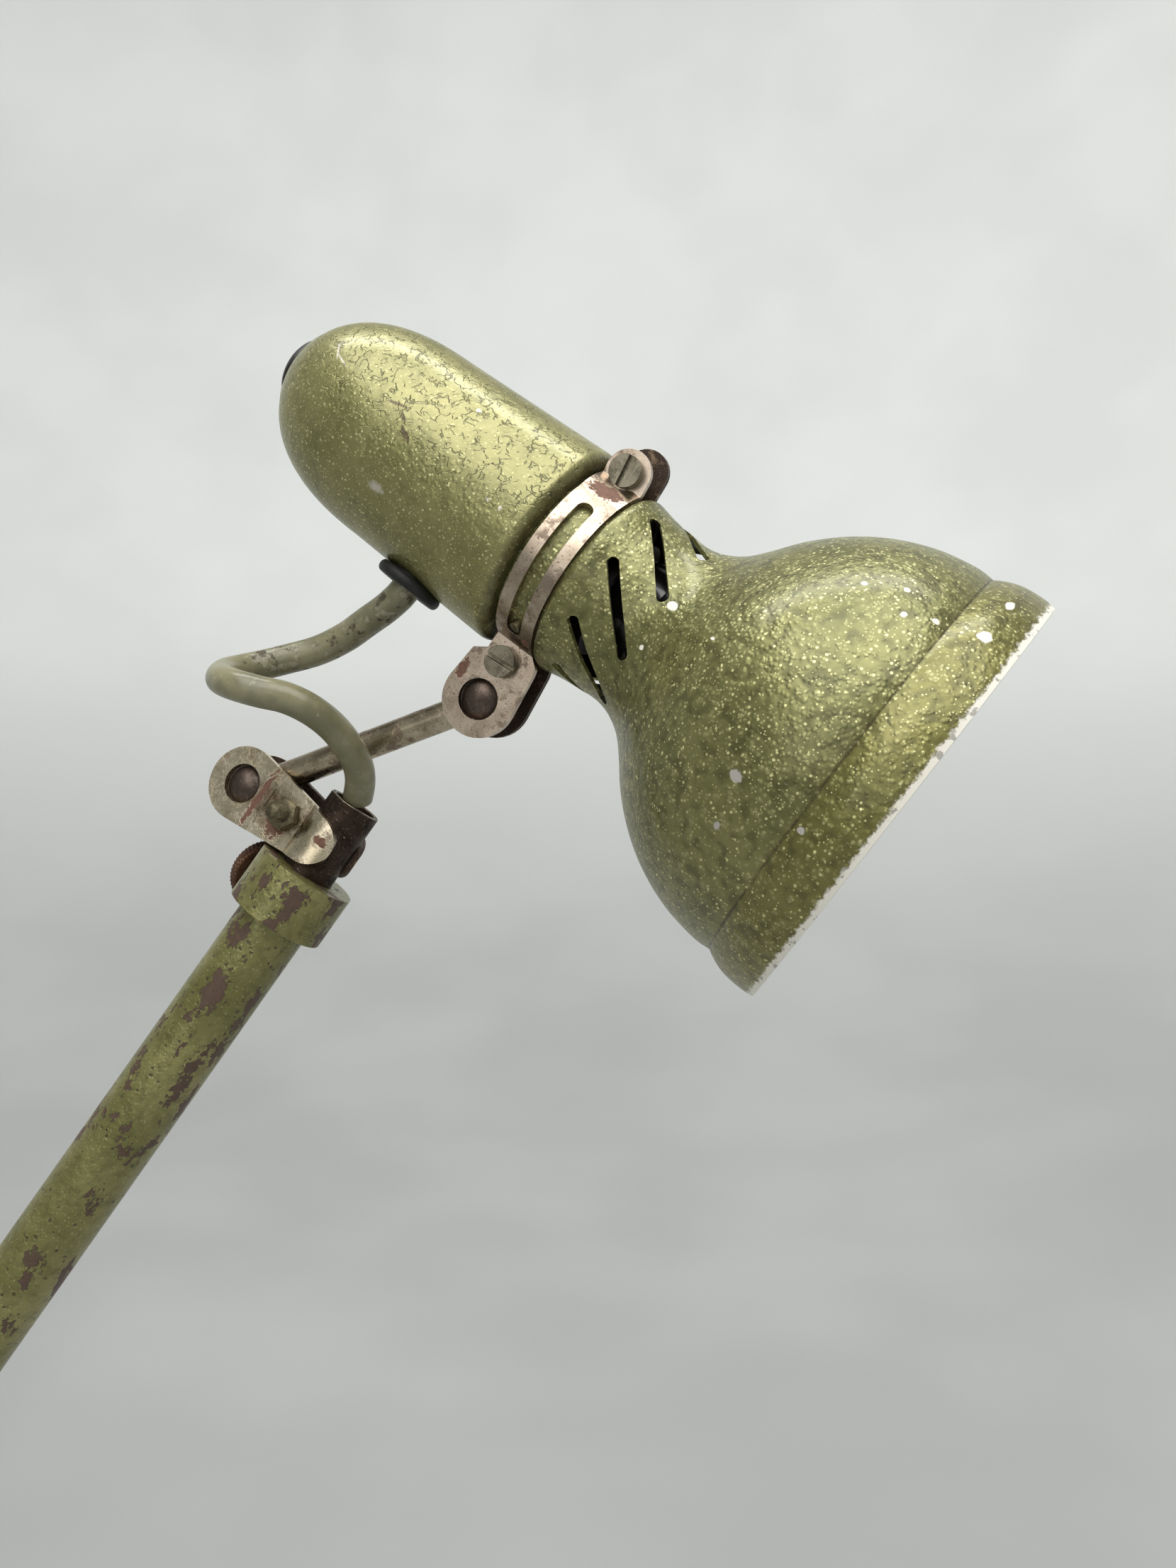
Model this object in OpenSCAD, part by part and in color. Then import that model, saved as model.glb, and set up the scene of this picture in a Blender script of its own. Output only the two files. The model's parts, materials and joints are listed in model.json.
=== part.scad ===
// Bench lamp on a telescopic arm: a bell shade and bullet cap held by a slotted swivel band,
// a short link with a ball at each end, a stem that slides in the arm tube, and a table clamp.
// Millimetres, +Z up. The origin is on the underside of the clamp's upper jaw, below the post.

/* [Arm] */
// Height of the knuckle pivot above the table top
pivot_h = 72; // [70:1:90]
// Lean of the arm above the horizontal, in degrees
arm_angle = 54.8; // [40:0.1:70]
// Knuckle pivot to the top face of the collar
arm_l = 330; // [280:5:400]
// Outer diameter of the painted arm tube
arm_d = 20; // [19:0.5:22]
// Outer diameter of the collar
collar_d = 28; // [26:0.5:32]
// Height of the collar along the arm
collar_h = 15.3; // [14:0.1:20]

/* [Stem] */
// Outer diameter of the sliding stem tube
stem_d = 15; // [14:0.5:16]
// How far the stem stands out of the collar
stem_out = 22.9; // [20:0.1:40]
// Length of stem inside the arm
stem_in = 200; // [170:5:220]
// Centre of the stem plates above the collar
plate_up = 9.2; // [9:0.1:12]
// Turn of the stem plates about the stem, in degrees
plate_turn = -19.7; // [-30:0.1:0]
// Stem axis to the centre of the lower ball
ball_offset = 29; // [28:0.5:32]

/* [Link] */
// Distance between the two ball centres
link_l = 73.6; // [65:0.1:90]
// Rise of the link above the horizontal, in degrees
link_rise = 18.86; // [10:0.01:30]
// Turn of the link towards the front, in degrees
link_turn = -15.07; // [-20:0.01:0]
// Diameter of the link rod
rod_d = 8; // [7:0.5:8]
// Diameter of both balls
ball_d = 15; // [15:0.5:16]
// Diameter of the holes that grip the balls
ball_hole_d = 11; // [10:0.5:12]

/* [Head] */
// Dip of the head's axis below the horizontal, in degrees
head_dip = 37.93; // [30:0.01:45]
// Turn of the head's axis towards the front, in degrees
head_turn = 11.48; // [0:0.01:20]
// Turn of the swivel band about the head's axis, in degrees
band_turn = 11.8; // [0:0.1:20]
// Head axis to the centre of the upper ball
clamp_ball = 42; // [41:0.5:46]
// Rim plane to the middle of the swivel band
band_h = 102.6; // [102.4:0.1:103]
// Thickness of the sheet metal of shade and cap
sheet = 1; // [0.8:0.1:1.2]

/* [Lead] */
// Diameter of the lead between the head and the stem
lead_d = 8.2; // [7:0.1:8.2]

/* [Table clamp] */
// Gap between the jaw and the pad at rest
table_gap = 26; // [15:1:45]
// Width of the bracket
bracket_w = 32; // [28:1:40]

/* [Hidden] */
$fn = 64;

// Clearance of a running fit, and of parts that sit in each other on one body
fit = 0.05;
snug = 0.02;

// Directions and centres along the chain from the table to the head
arm_dir = [cos(arm_angle), 0, sin(arm_angle)];
arm_side = [sin(arm_angle), 0, -cos(arm_angle)];
plate_dir = arm_side * cos(plate_turn) + [0, 1, 0] * sin(plate_turn);
low_at = [0, 0, pivot_h] + arm_dir * (arm_l + plate_up) - plate_dir * ball_offset;
link_dir = [cos(link_rise) * cos(link_turn), cos(link_rise) * sin(link_turn), sin(link_rise)];
up_at = low_at + link_dir * link_l;
head_across = [sin(head_dip), 0, cos(head_dip)];
head_back = [sin(head_turn) * cos(head_dip), cos(head_turn), -sin(head_turn) * sin(head_dip)];
head_rear = [-cos(head_dip) * cos(head_turn), sin(head_turn), sin(head_dip) * cos(head_turn)];
band_across = head_across * cos(band_turn) - head_back * sin(band_turn);
head_at = up_at + band_across * clamp_ball - head_rear * band_h;

// Arm: wall thickness, knuckle and fork
arm_wall = 1;
tube_from = 30;
lock_down = 10.1;
lock_turn = 127;
knuckle_r = 13;
tongue_t = 10;
washer_t = 1.2;
cheek_t = 4;
knuckle_bolt_r = 4;
gland_at = 70;
gland_r = 5;

// Post and bracket
post_r = 6;
socket_r = 14;
socket_top = 40;
jaw_t = 9;
spine_x = -34;
spine_t = 12;
throat = 66;
clamp_bolt_r = 5;

// Stem plates: thickness, inner distance at the ball and at the bolt, and where the bolt is
plate_t = 2;
grip = sqrt(pow(ball_d / 2, 2) - pow(ball_hole_d / 2, 2));
bolt_at = -12.2;
bolt_up = 0.7;
bolt_in = 4.7;
crease_at = -19.3;
saddle_t = 1.8;
lobe_r = 7;
m5_r = 2.5;

// Swivel band: seat on the neck, band, screws and slot
seat_r = 23.6;
band_in = seat_r + fit;
band_t = 1.8;
band_w = 11.6;
ear_in = 5;
ear_screw_at = 27.6;
ear_screw_up = 0.9;
plate_screw_at = -30;
slot_w = 4.4;
slot_low = -53;
slot_high = 34;
pin_r = 1.6;

// Screw heads of M5 cheese-head screws
head_r = 4.2;
head_t = 3.3;

// Cap: taper, dome and rear opening
lip_h = 109.7;
cap_from = 112.7;
cap_r1 = 29;
dome_from = 158;
cap_r2 = 27.6;
dome_l = 41;
dome_power = 2.4;
cap_hole_r = 8.6;
lead_h = 136.8;

// Vents in the neck
vent_count = 9;
vent_h = 81;
vent_turn = -12;
vent_slope = 48;
vent_l = 22;
vent_w = 2.9;

// Switch
switch_from = 172;
bore_from = 182;
button_from = 190;
button_r = 6.9;

// Outline of the shade from the rim over the skirt and its crease, as radius and height
skirt_line = [[58.6, 0], [58.9, 3], [58.8, 7], [58.3, 10], [57.2, 13], [56.1, 15]];
// Outline of the bell from the crease over the neck to the shoulder
bell_line = [[56.1, 15], [56.4, 19], [55.8, 24.5], [54.7, 30], [52.5, 36.5], [49.2, 43.3], [44.7, 50],
    [39.1, 56.3], [33.2, 61.5], [28.2, 66.5], [25.1, 72], [24, 77], [24.3, 82], [24.9, 88], [25.8, 92.5],
    [26, 94.5], [25.2, 95.9], [23.6, 96.5]];
neck_end = 113;

// Route of the lead: from the cap over the loop to the stem's mouth, as rounded points
lead_route = [[217.4, -9.8, 416.6], [213, -7, 413.5], [207, -4, 410], [201, -1, 406.5], [193, 1, 403],
    [184, 1, 400.5], [178.5, 0, 399], [173.5, -3, 397.5], [170.5, -8, 396], [171, -15, 394],
    [174, -21, 392.5], [178.5, -25, 391], [184, -26, 389.5], [190.5, -25, 388], [196.5, -23, 385],
    [201, -19, 381], [204, -15, 376.5], [206, -11, 371.5], [206, -7, 367], [204.6, -3, 362.4]];

// Small vector and curve tools
function unit(v) = v / norm(v);
function mix(a, b, t) = a * (1 - t) + b * t;
function at(list, i) = list[min(max(i, 0), len(list) - 1)];
function knot(a, b, c, d, t) =
    (2 * b + (c - a) * t + (2 * a - 5 * b + 4 * c - d) * t * t + (3 * b - a - 3 * c + d) * t * t * t) / 2;
// A smooth curve through a list of points, with a number of steps between each two
function smooth(list, steps) = concat(
    [for (i = [0:len(list) - 2]) for (k = [0:steps - 1])
        knot(at(list, i - 1), list[i], list[i + 1], at(list, i + 2), k / steps)],
    [list[len(list) - 1]]);
// The same outline moved to its left side by a distance
function shifted(line, d) = [for (i = [0:len(line) - 1])
    let (t = unit(at(line, i + 1) - at(line, i - 1))) line[i] + d * [-t[1], t[0]]];
function reversed(list) = [for (i = [len(list) - 1:-1:0]) list[i]];
// A frame's first side direction, carried along a path without twist
function sides(path, i) = i == 0
    ? unit(cross(path[1] - path[0], abs(unit(path[1] - path[0])[2]) < 0.8 ? [0, 0, 1] : [1, 0, 0]))
    : let (t = unit(at(path, i + 1) - path[i - 1]), s = sides(path, i - 1)) unit(s - t * (s * t));

// Points on an arc about c
function arc(c, r, a1, a2, n) = [for (i = [0:n])
    let (a = a1 + (a2 - a1) * i / n) c + r * [cos(a), sin(a)]];
// Outline of a flat tab between two round ends on the X axis
function tab(x1, r1, x2, r2) = let (lean = asin((r1 - r2) / (x2 - x1)))
    concat(arc([x1, 0], r1, 90 - lean, 270 + lean, 20), arc([x2, 0], r2, lean - 90, 90 - lean, 16));

// A round tube along the part of a path between two of its points
module tube_between(path, first, last, r, n) {
    count = last - first;
    rings = [for (i = [first:last])
        let (t = unit(at(path, i + 1) - at(path, i - 1)), s = sides(path, i), w = cross(t, s))
        for (k = [0:n - 1]) path[i] + r * (s * cos(360 * k / n) + w * sin(360 * k / n))];
    polyhedron(rings, concat(
        [[for (k = [0:n - 1]) k]],
        [for (i = [0:count - 1]) for (k = [0:n - 1])
            [i * n + (k + 1) % n, i * n + k, (i + 1) * n + k, (i + 1) * n + (k + 1) % n]],
        [[for (k = [n - 1:-1:0]) count * n + k]]), 4);
}
module tube_along(path, r, n) {
    tube_between(path, 0, len(path) - 1, r, n);
}

// Frames of reference
module on_arm() {
    translate([0, 0, pivot_h]) rotate([0, 90 - arm_angle, 0]) children();
}
module on_plates() {
    on_arm() translate([0, 0, arm_l + plate_up]) rotate([0, 0, plate_turn]) children();
}
module on_link() {
    translate(low_at) rotate([0, -link_rise, link_turn]) children();
}
module on_head() {
    translate(head_at) rotate([-head_turn, head_dip - 90, 0]) children();
}
module on_band() {
    on_head() rotate([0, 0, -band_turn]) children();
}

// A solid from an outline in the XZ plane, between two Y values
module slab(y1, y2) {
    translate([0, y2, 0]) rotate([90, 0, 0]) linear_extrude(y2 - y1) children();
}
// A cylinder along Y between two Y values
module rod_y(r, y1, y2) {
    translate([0, y2, 0]) rotate([90, 0, 0]) cylinder(r = r, h = y2 - y1);
}
// A knurled wheel standing on the XY plane
module knurled_wheel(r, h, teeth, depth) {
    linear_extrude(h) polygon([for (i = [0:2 * teeth - 1])
        (r - depth * (i % 2)) * [cos(180 * i / teeth), sin(180 * i / teeth)]]);
}
// A cheese-head screw along Y: its head stands out to -Y from y1, its shank runs to y2
module cheese_screw_y(y1, y2, slot_turn) {
    difference() {
        union() {
            rod_y(head_r, y1 - head_t, y1);
            rod_y(m5_r, y1 - 1, y2);
        }
        rotate([0, slot_turn, 0]) translate([-head_r - 1, y1 - head_t - 1, -0.6])
            cube([2 * head_r + 2, 2.5, 1.2]);
    }
}
// A hexagon nut along Y
module hex_nut_y(af, y1, y2, hole_r) {
    difference() {
        translate([0, y2, 0]) rotate([90, 0, 0]) cylinder(r = af / sqrt(3), h = y2 - y1, $fn = 6);
        rod_y(hole_r, y1 - 1, y2 + 1);
    }
}

// ---- Table clamp ----
module clamp_bracket() {
    low = -throat - 12;
    color("olivedrab") difference() {
        union() {
            translate([spine_x, -bracket_w / 2, 0]) cube([spine_t + 44, bracket_w, jaw_t]);
            translate([spine_x, -bracket_w / 2, low]) cube([spine_t, bracket_w, jaw_t - low]);
            translate([spine_x, -12, low]) cube([-spine_x, 24, 12]);
            translate([0, 0, low - 2]) cylinder(r = 12, h = 16);
            translate([0, 0, jaw_t - 1]) cylinder(r = socket_r, h = socket_top - jaw_t + 1);
            translate([-12, 0, 26]) rotate([0, -90, 0]) cylinder(r = 6, h = 6);
        }
        translate([0, 0, 11]) cylinder(r = post_r, h = socket_top);
        translate([0, 0, low - 3]) cylinder(r = clamp_bolt_r + fit, h = 20);
        translate([0, 0, 26]) rotate([0, -90, 0]) cylinder(r = 3 + fit, h = 30);
        // Rounded outer corners of the C
        for (z = [jaw_t, low])
            translate([spine_x, -bracket_w, z]) rotate([0, 45, 0]) cube([5, 3 * bracket_w, 5], center = true);
    }
}
module screw_pad() {
    color("dimgray") translate([0, 0, -table_gap]) difference() {
        union() {
            translate([0, 0, -3]) cylinder(r = 13, h = 3);
            translate([0, 0, -8]) cylinder(r = 8, h = 5.5);
        }
        translate([0, 0, -8.5]) cylinder(r = 3.55, h = 5.5);
    }
}
module clamp_screw() {
    top = -table_gap - 3.2;
    color("silver") difference() {
        union() {
            translate([0, 0, top - 5.6]) cylinder(r = 3.5, h = 5.6);
            translate([0, 0, top - 70]) cylinder(r = clamp_bolt_r, h = 64.5);
            translate([0, 0, top - 84]) cylinder(r = 8, h = 14.5);
        }
        translate([0, 0, top - 77]) rotate([90, 0, 0]) cylinder(r = 2.6, h = 40, center = true);
    }
}
module tommy_bar() {
    z = -table_gap - 80.2;
    color("silver") translate([0, 0, z]) {
        rotate([90, 0, 0]) cylinder(r = 2.5, h = 60, center = true);
        for (y = [-30, 30]) translate([0, y, 0]) sphere(r = 4.2);
    }
}
module thumbscrew(tip, wheel_at, wheel_r, wheel_t) {
    translate([0, 0, tip]) cylinder(r = 3, h = wheel_at - tip);
    translate([0, 0, wheel_at - 1.6]) cylinder(r = 5.2, h = 1.7);
    translate([0, 0, wheel_at]) knurled_wheel(wheel_r, wheel_t, 48, 0.45);
}
module post_thumbscrew() {
    color("saddlebrown") translate([0, 0, 26]) rotate([0, -90, 0]) thumbscrew(post_r + 0.1, 20.6, 9, 4);
}

// ---- Post and knuckle ----
module swivel_post() {
    color("gray") difference() {
        union() {
            translate([0, 0, 12]) cylinder(r = post_r - fit, h = 30);
            translate([0, 0, socket_top + 0.2]) cylinder(r = socket_r, h = 4);
            translate([-knuckle_r, -tongue_t / 2, socket_top + 3])
                cube([2 * knuckle_r, tongue_t, pivot_h - socket_top - 3]);
            translate([0, 0, pivot_h]) rod_y(knuckle_r, -tongue_t / 2, tongue_t / 2);
        }
        translate([0, 0, pivot_h]) rod_y(knuckle_bolt_r + fit, -tongue_t, tongue_t);
    }
}
module arm_fork() {
    inner = tongue_t / 2 + fit + washer_t;
    outer = inner + cheek_t;
    color("olivedrab") on_arm() difference() {
        union() {
            intersection() {
                union() {
                    rod_y(knuckle_r, -outer, outer);
                    translate([-knuckle_r, -outer, 0]) cube([2 * knuckle_r, 2 * outer, tube_from]);
                }
                cylinder(r = 15, h = 200, center = true);
            }
            translate([0, 0, tube_from - 1]) cylinder(r = arm_d / 2 - arm_wall, h = 22);
        }
        translate([-20, -inner, -20]) cube([40, 2 * inner, 37]);
        rod_y(knuckle_bolt_r + snug, -20, 20);
    }
}
module knuckle_bolt() {
    outer = tongue_t / 2 + fit + washer_t + cheek_t;
    color("silver") on_arm() difference() {
        union() {
            rod_y(knuckle_bolt_r, -outer, outer + 12);
            rod_y(7, -outer - 4.5, -outer);
        }
        rotate([0, 30, 0]) translate([-8, -outer - 6, -0.8]) cube([16, 3.5, 1.6]);
    }
}
module knuckle_washers() {
    color("dimgray") on_arm() for (s = [-1, 1]) {
        y = s * (tongue_t / 2 + fit + washer_t / 2);
        difference() {
            rod_y(11, y - washer_t / 2, y + washer_t / 2);
            rod_y(knuckle_bolt_r + fit, -20, 20);
        }
    }
}
module knuckle_knob() {
    outer = tongue_t / 2 + fit + washer_t + cheek_t;
    color("saddlebrown") on_arm() difference() {
        translate([0, outer + 0.1, 0]) rotate([-90, 0, 0]) {
            cylinder(r = 7, h = 3);
            translate([0, 0, 3]) knurled_wheel(11, 6, 48, 0.45);
        }
        rod_y(knuckle_bolt_r + fit, 0, 40);
    }
}

// ---- Arm ----
module arm_tube() {
    color("olivedrab") on_arm() difference() {
        translate([0, 0, tube_from]) cylinder(d = arm_d, h = arm_l - tube_from - 3.3);
        translate([0, 0, tube_from - 1]) cylinder(r = arm_d / 2 - arm_wall, h = arm_l);
        translate([0, 0, gland_at]) rotate([0, 90, 0]) cylinder(r = gland_r, h = 20);
        translate([0, 0, arm_l - lock_down]) rotate([0, 0, lock_turn]) rotate([0, 90, 0])
            cylinder(r = 3 + fit, h = 20);
    }
}
module arm_collar() {
    color("olivedrab") on_arm() difference() {
        translate([0, 0, arm_l - collar_h]) cylinder(d = collar_d, h = collar_h);
        translate([0, 0, arm_l - 30]) cylinder(r = arm_d / 2 + snug, h = 26.7);
        translate([0, 0, arm_l - 10]) cylinder(r = stem_d / 2 + fit, h = 20);
        translate([0, 0, arm_l - lock_down]) rotate([0, 0, lock_turn]) rotate([0, 90, 0])
            cylinder(r = 3 + fit, h = 20);
    }
}
module collar_thumbscrew() {
    color("saddlebrown") on_arm() translate([0, 0, arm_l - lock_down]) rotate([0, 0, lock_turn])
        rotate([0, 90, 0]) thumbscrew(stem_d / 2 + 0.2, 16.2, 10.5, 4.3);
}
module cable_gland() {
    color("black") on_arm() translate([0, 0, gland_at]) rotate([0, 90, 0]) difference() {
        union() {
            translate([0, 0, 6.5]) cylinder(r = gland_r - fit, h = 8);
            translate([0, 0, arm_d / 2 + 0.1]) cylinder(r = 7, h = 2.4);
        }
        translate([0, 0, 0]) cylinder(r = lead_d / 2 + fit, h = 30);
    }
}
module lead_in_arm() {
    bend = 5;
    color("gray") on_arm() {
        translate([bend, 0, gland_at]) rotate([0, 90, 0]) cylinder(d = lead_d, h = 8);
        translate([bend, 0, gland_at + bend]) rotate([90, 0, 0]) rotate([0, 0, 180])
            rotate_extrude(angle = 90) translate([bend, 0]) circle(d = lead_d);
        translate([0, 0, gland_at + bend]) cylinder(d = lead_d, h = arm_l - stem_in - 10.3 - gland_at - bend);
    }
}

// ---- Stem ----
module stem_tube() {
    color("dimgray") on_arm() difference() {
        translate([0, 0, arm_l - stem_in]) cylinder(d = stem_d, h = stem_in + stem_out);
        translate([0, 0, 0]) cylinder(r = stem_d / 2 - 1.3, h = arm_l + 50);
    }
}
module stem_guide_ring() {
    color("goldenrod") on_arm() translate([0, 0, arm_l - stem_in]) difference() {
        cylinder(r = arm_d / 2 - arm_wall - fit, h = 10);
        translate([0, 0, -1]) cylinder(r = stem_d / 2 + snug, h = 12);
    }
}
module lead_in_stem() {
    color("gray") on_arm() translate([0, 0, arm_l - stem_in - 10])
        cylinder(d = lead_d, h = stem_in + stem_out + 7);
}

// ---- Stem plates ----
// Cross-section of one stem plate in the XY plane, on the +Y side: the flat part that grips
// the ball, a shallow step down to the part with the bolt, and a saddle over the stem
module stem_plate_section(saddle_end) {
    saddle_in = stem_d / 2 + fit;
    saddle_out = saddle_in + saddle_t;
    polygon(concat([[-45, grip], [-45, grip + plate_t], [crease_at, grip + plate_t],
        [crease_at + 0.4, bolt_in + plate_t]],
        arc([0, 0], saddle_out, 180 - asin((bolt_in + plate_t) / saddle_out), saddle_end, 14),
        arc([0, 0], saddle_in, saddle_end, 180 - asin(bolt_in / saddle_in), 14),
        [[crease_at - 0.4, bolt_in], [crease_at - 0.8, grip]]));
}
module stem_plate(saddle_end, tip) {
    intersection() {
        translate([0, 0, -15]) linear_extrude(30) stem_plate_section(saddle_end);
        slab(0, 20) polygon(tab(-ball_offset, 10.6, tip - lobe_r, lobe_r));
    }
}
module stem_plate_holes() {
    translate([-ball_offset, 0, 0]) rod_y(ball_hole_d / 2 + fit, -20, 20);
    translate([bolt_at, 0, bolt_up]) rod_y(m5_r + snug, -20, 20);
}
module stem_plate_front() {
    color("silver") on_plates() difference() {
        mirror([0, 1, 0]) stem_plate(50, 6);
        stem_plate_holes();
    }
}
module stem_plate_rear() {
    color("silver") on_plates() difference() {
        stem_plate(20, 9);
        stem_plate_holes();
    }
}
module stem_plate_bolt() {
    out = bolt_in + plate_t;
    color("gray") on_plates() translate([bolt_at, 0, bolt_up]) {
        rod_y(m5_r, -out - 7.7, out + 1);
        translate([0, out + 3.5, 0]) rotate([90, 0, 0]) cylinder(r = 8 / sqrt(3), h = 3.5, $fn = 6);
    }
}
module stem_plate_nut() {
    out = bolt_in + plate_t;
    color("gray") on_plates() translate([bolt_at, 0, bolt_up]) hex_nut_y(8, -out - 2.7, -out, m5_r + snug);
}

// ---- Link ----
module lower_ball() {
    color("dimgray") on_link() difference() {
        // Turned so that the ball's seam is on the side away from the rod
        rotate([0, 0, 180]) sphere(d = ball_d);
        translate([2, 0, 0]) rotate([0, 90, 0]) cylinder(d = rod_d + 0.04, h = 20);
    }
}
module upper_ball() {
    color("dimgray") on_link() translate([link_l, 0, 0]) difference() {
        sphere(d = ball_d);
        translate([-22, 0, 0]) rotate([0, 90, 0]) cylinder(d = rod_d + 0.04, h = 20);
    }
}
module link_rod() {
    color("silver") on_link() translate([2.05, 0, 0]) rotate([0, 90, 0]) cylinder(d = rod_d, h = link_l - 4.1);
}

// ---- Swivel band ----
// Cross-section of one band half in the XY plane, on the +Y side: the plate that grips the
// ball, the half ring round the neck and the ear
module band_section() {
    band_out = band_in + band_t;
    ear_out = ear_in + plate_t;
    polygon(concat([[-56, grip], [-56, grip + plate_t]],
        arc([0, 0], band_out, 180 - asin((grip + plate_t) / band_out), asin(ear_out / band_out), 44),
        [[40, ear_out], [40, ear_in]],
        arc([0, 0], band_in, asin(ear_in / band_in), 180 - asin(grip / band_in), 44)));
}
// Front outline of one band half in the XZ plane
module band_outline(ear_end) {
    half = band_w / 2;
    ball_end_r = 10.3;
    screw_end_r = 9;
    lean = asin((ball_end_r - screw_end_r) / (clamp_ball + plate_screw_at));
    // The lower edge turns in early, to stay clear of the shoulder bead of the neck
    polygon(concat(arc([-clamp_ball, 0], ball_end_r, 90 - lean, 270 + lean, 20),
        arc([plate_screw_at, 0], screw_end_r, 270 + lean, 293, 4),
        [[plate_screw_at + 5.6, -half], [ear_screw_at - 6, -half]],
        arc([ear_end, ear_screw_up], 6.1, -90, 90, 14),
        [[ear_screw_at - 9, half], [plate_screw_at + 0.7, half], [plate_screw_at - 1.5, 9.2]]));
}
module band_half(ear_end) {
    difference() {
        intersection() {
            translate([0, 0, -15]) linear_extrude(30) band_section();
            slab(0, 40) band_outline(ear_end);
        }
        translate([-clamp_ball, 0, 0]) rod_y(ball_hole_d / 2 + fit, -20, 20);
        translate([plate_screw_at, 0, 0]) rod_y(m5_r + snug, -20, 20);
        translate([ear_screw_at, 0, ear_screw_up]) rod_y(m5_r + snug, -40, 40);
        // Seat for the screw head where the band turns out into the ear
        translate([ear_screw_at, 0, ear_screw_up]) rod_y(head_r + 0.6, ear_in + plate_t, 40);
    }
}
module band_half_front() {
    color("silver") on_band() translate([0, 0, band_h]) difference() {
        mirror([0, 1, 0]) band_half(ear_screw_at);
        // Long slot for the stop pin, with round ends
        rotate([0, 0, slot_low - 90]) rotate_extrude(angle = slot_high - slot_low)
            translate([20, -slot_w / 2]) square([12, slot_w]);
        for (s = [-1, 1])
            rotate([0, 0, (s < 0 ? slot_low : slot_high) - 90]) translate([20, 0, 0]) rotate([0, 90, 0])
                linear_extrude(12) polygon(concat([[slot_w / 2, -s * 0.3]],
                    arc([0, 0], slot_w / 2, 0, s * 180, 12), [[-slot_w / 2, -s * 0.3]]));
    }
}
module band_half_rear() {
    color("silver") on_band() translate([0, 0, band_h]) band_half(ear_screw_at + 3);
}
module ear_screw() {
    color("dimgray") on_band() translate([ear_screw_at, 0, band_h + ear_screw_up])
        cheese_screw_y(-ear_in - plate_t, ear_in + plate_t + 4, -8);
}
module ear_nut() {
    out = ear_in + plate_t;
    color("dimgray") on_band() translate([ear_screw_at, 0, band_h + ear_screw_up])
        hex_nut_y(8, out, out + 3.8, m5_r + snug);
}
module plate_screw() {
    color("dimgray") on_band() translate([plate_screw_at, 0, band_h])
        cheese_screw_y(-grip - plate_t, grip + plate_t + 4, 85);
}
module plate_nut() {
    out = grip + plate_t;
    color("dimgray") on_band() translate([plate_screw_at, 0, band_h])
        hex_nut_y(8, out, out + 3.8, m5_r + snug);
}

// ---- Shade and cap ----
module shade() {
    line = concat(skirt_line, smooth(bell_line, 2), [[seat_r, neck_end]]);
    wall = concat(line, reversed(shifted(line, sheet)));
    color("olivedrab") on_head() difference() {
        rotate_extrude($fn = 96) polygon(concat(line, [[seat_r - sheet, neck_end]],
            reversed([for (i = [1:len(line) - 2]) shifted(line, sheet)[i]]), [[57.6, 0]]));
        for (i = [0:vent_count - 1])
            translate([0, 0, vent_h]) rotate([0, 0, vent_turn - 90 + i * 360 / vent_count]) vent();
        // Hole for the stop pin
        translate([0, 0, band_h]) rotate([0, 0, slot_low - 90 - band_turn]) translate([20, 0, 0])
            rotate([0, 90, 0]) cylinder(r = pin_r, h = 10);
    }
}
// One slanted slot, cut outwards along X
module vent() {
    rotate([-vent_slope, 0, 0]) {
        translate([16, -vent_w / 2, -vent_l / 2]) cube([20, vent_w, vent_l]);
        for (s = [-1, 1]) translate([16, 0, s * vent_l / 2]) rotate([0, 90, 0]) cylinder(d = vent_w, h = 20);
    }
}
function cap_r(h) = h < dome_from
    ? mix(cap_r1, cap_r2, (h - cap_from) / (dome_from - cap_from))
    : cap_r2 * pow(1 - pow(min((h - dome_from) / dome_l, 1), dome_power), 1 / dome_power);
module cap_shell() {
    lip = [for (a = [-90:15:0]) [cap_r1 - 3 + 3 * cos(a), lip_h + 3 + 3 * sin(a)]];
    dome = [for (h = [dome_from:3:dome_from + 36]) [cap_r(h), h]];
    rear = [[11.8, 197], [cap_hole_r, 198.1]];
    line = concat(lip, dome, rear);
    inner = [for (i = [1:len(line) - 2]) shifted(line, sheet)[i]];
    color("olivedrab") on_head() difference() {
        rotate_extrude($fn = 96) polygon(concat([[seat_r + fit, lip_h]], line,
            [[cap_hole_r, 198.1 - sheet]], reversed(inner), [[seat_r + fit, lip_h + sheet]]));
        translate([0, 0, lead_h]) rotate([0, -90, 0]) cylinder(r = 6, h = 40);
    }
}
module lead_grommet() {
    color("black") on_head() difference() {
        translate([0, 0, lead_h]) rotate([0, -90, 0]) union() {
            translate([0, 0, 23.3]) cylinder(r = 8, h = 2.4);
            translate([0, 0, 25]) cylinder(r = 5.9, h = 5);
            difference() {
                translate([0, 0, 26.8]) cylinder(r = 9.7, h = 4.6);
                rotate([0, 90, 0]) translate([0, 0, cap_from - lead_h])
                    cylinder(r1 = cap_r1, r2 = cap_r2, h = dome_from - cap_from);
            }
        }
        translate([0, 0, lead_h]) rotate([0, -90, 0]) cylinder(r = lead_d / 2 + snug, h = 60);
    }
}
module swivel_stop_pin() {
    color("goldenrod") on_head() translate([0, 0, band_h]) rotate([0, 0, slot_low - 90 - band_turn])
        translate([21.8, 0, 0]) rotate([0, 90, 0]) cylinder(r = pin_r, h = 3.4);
}
module lead_in_cap() {
    color("gray") on_head() translate([-15, 0, lead_h]) rotate([0, -90, 0]) cylinder(d = lead_d, h = 15.4);
}

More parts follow.
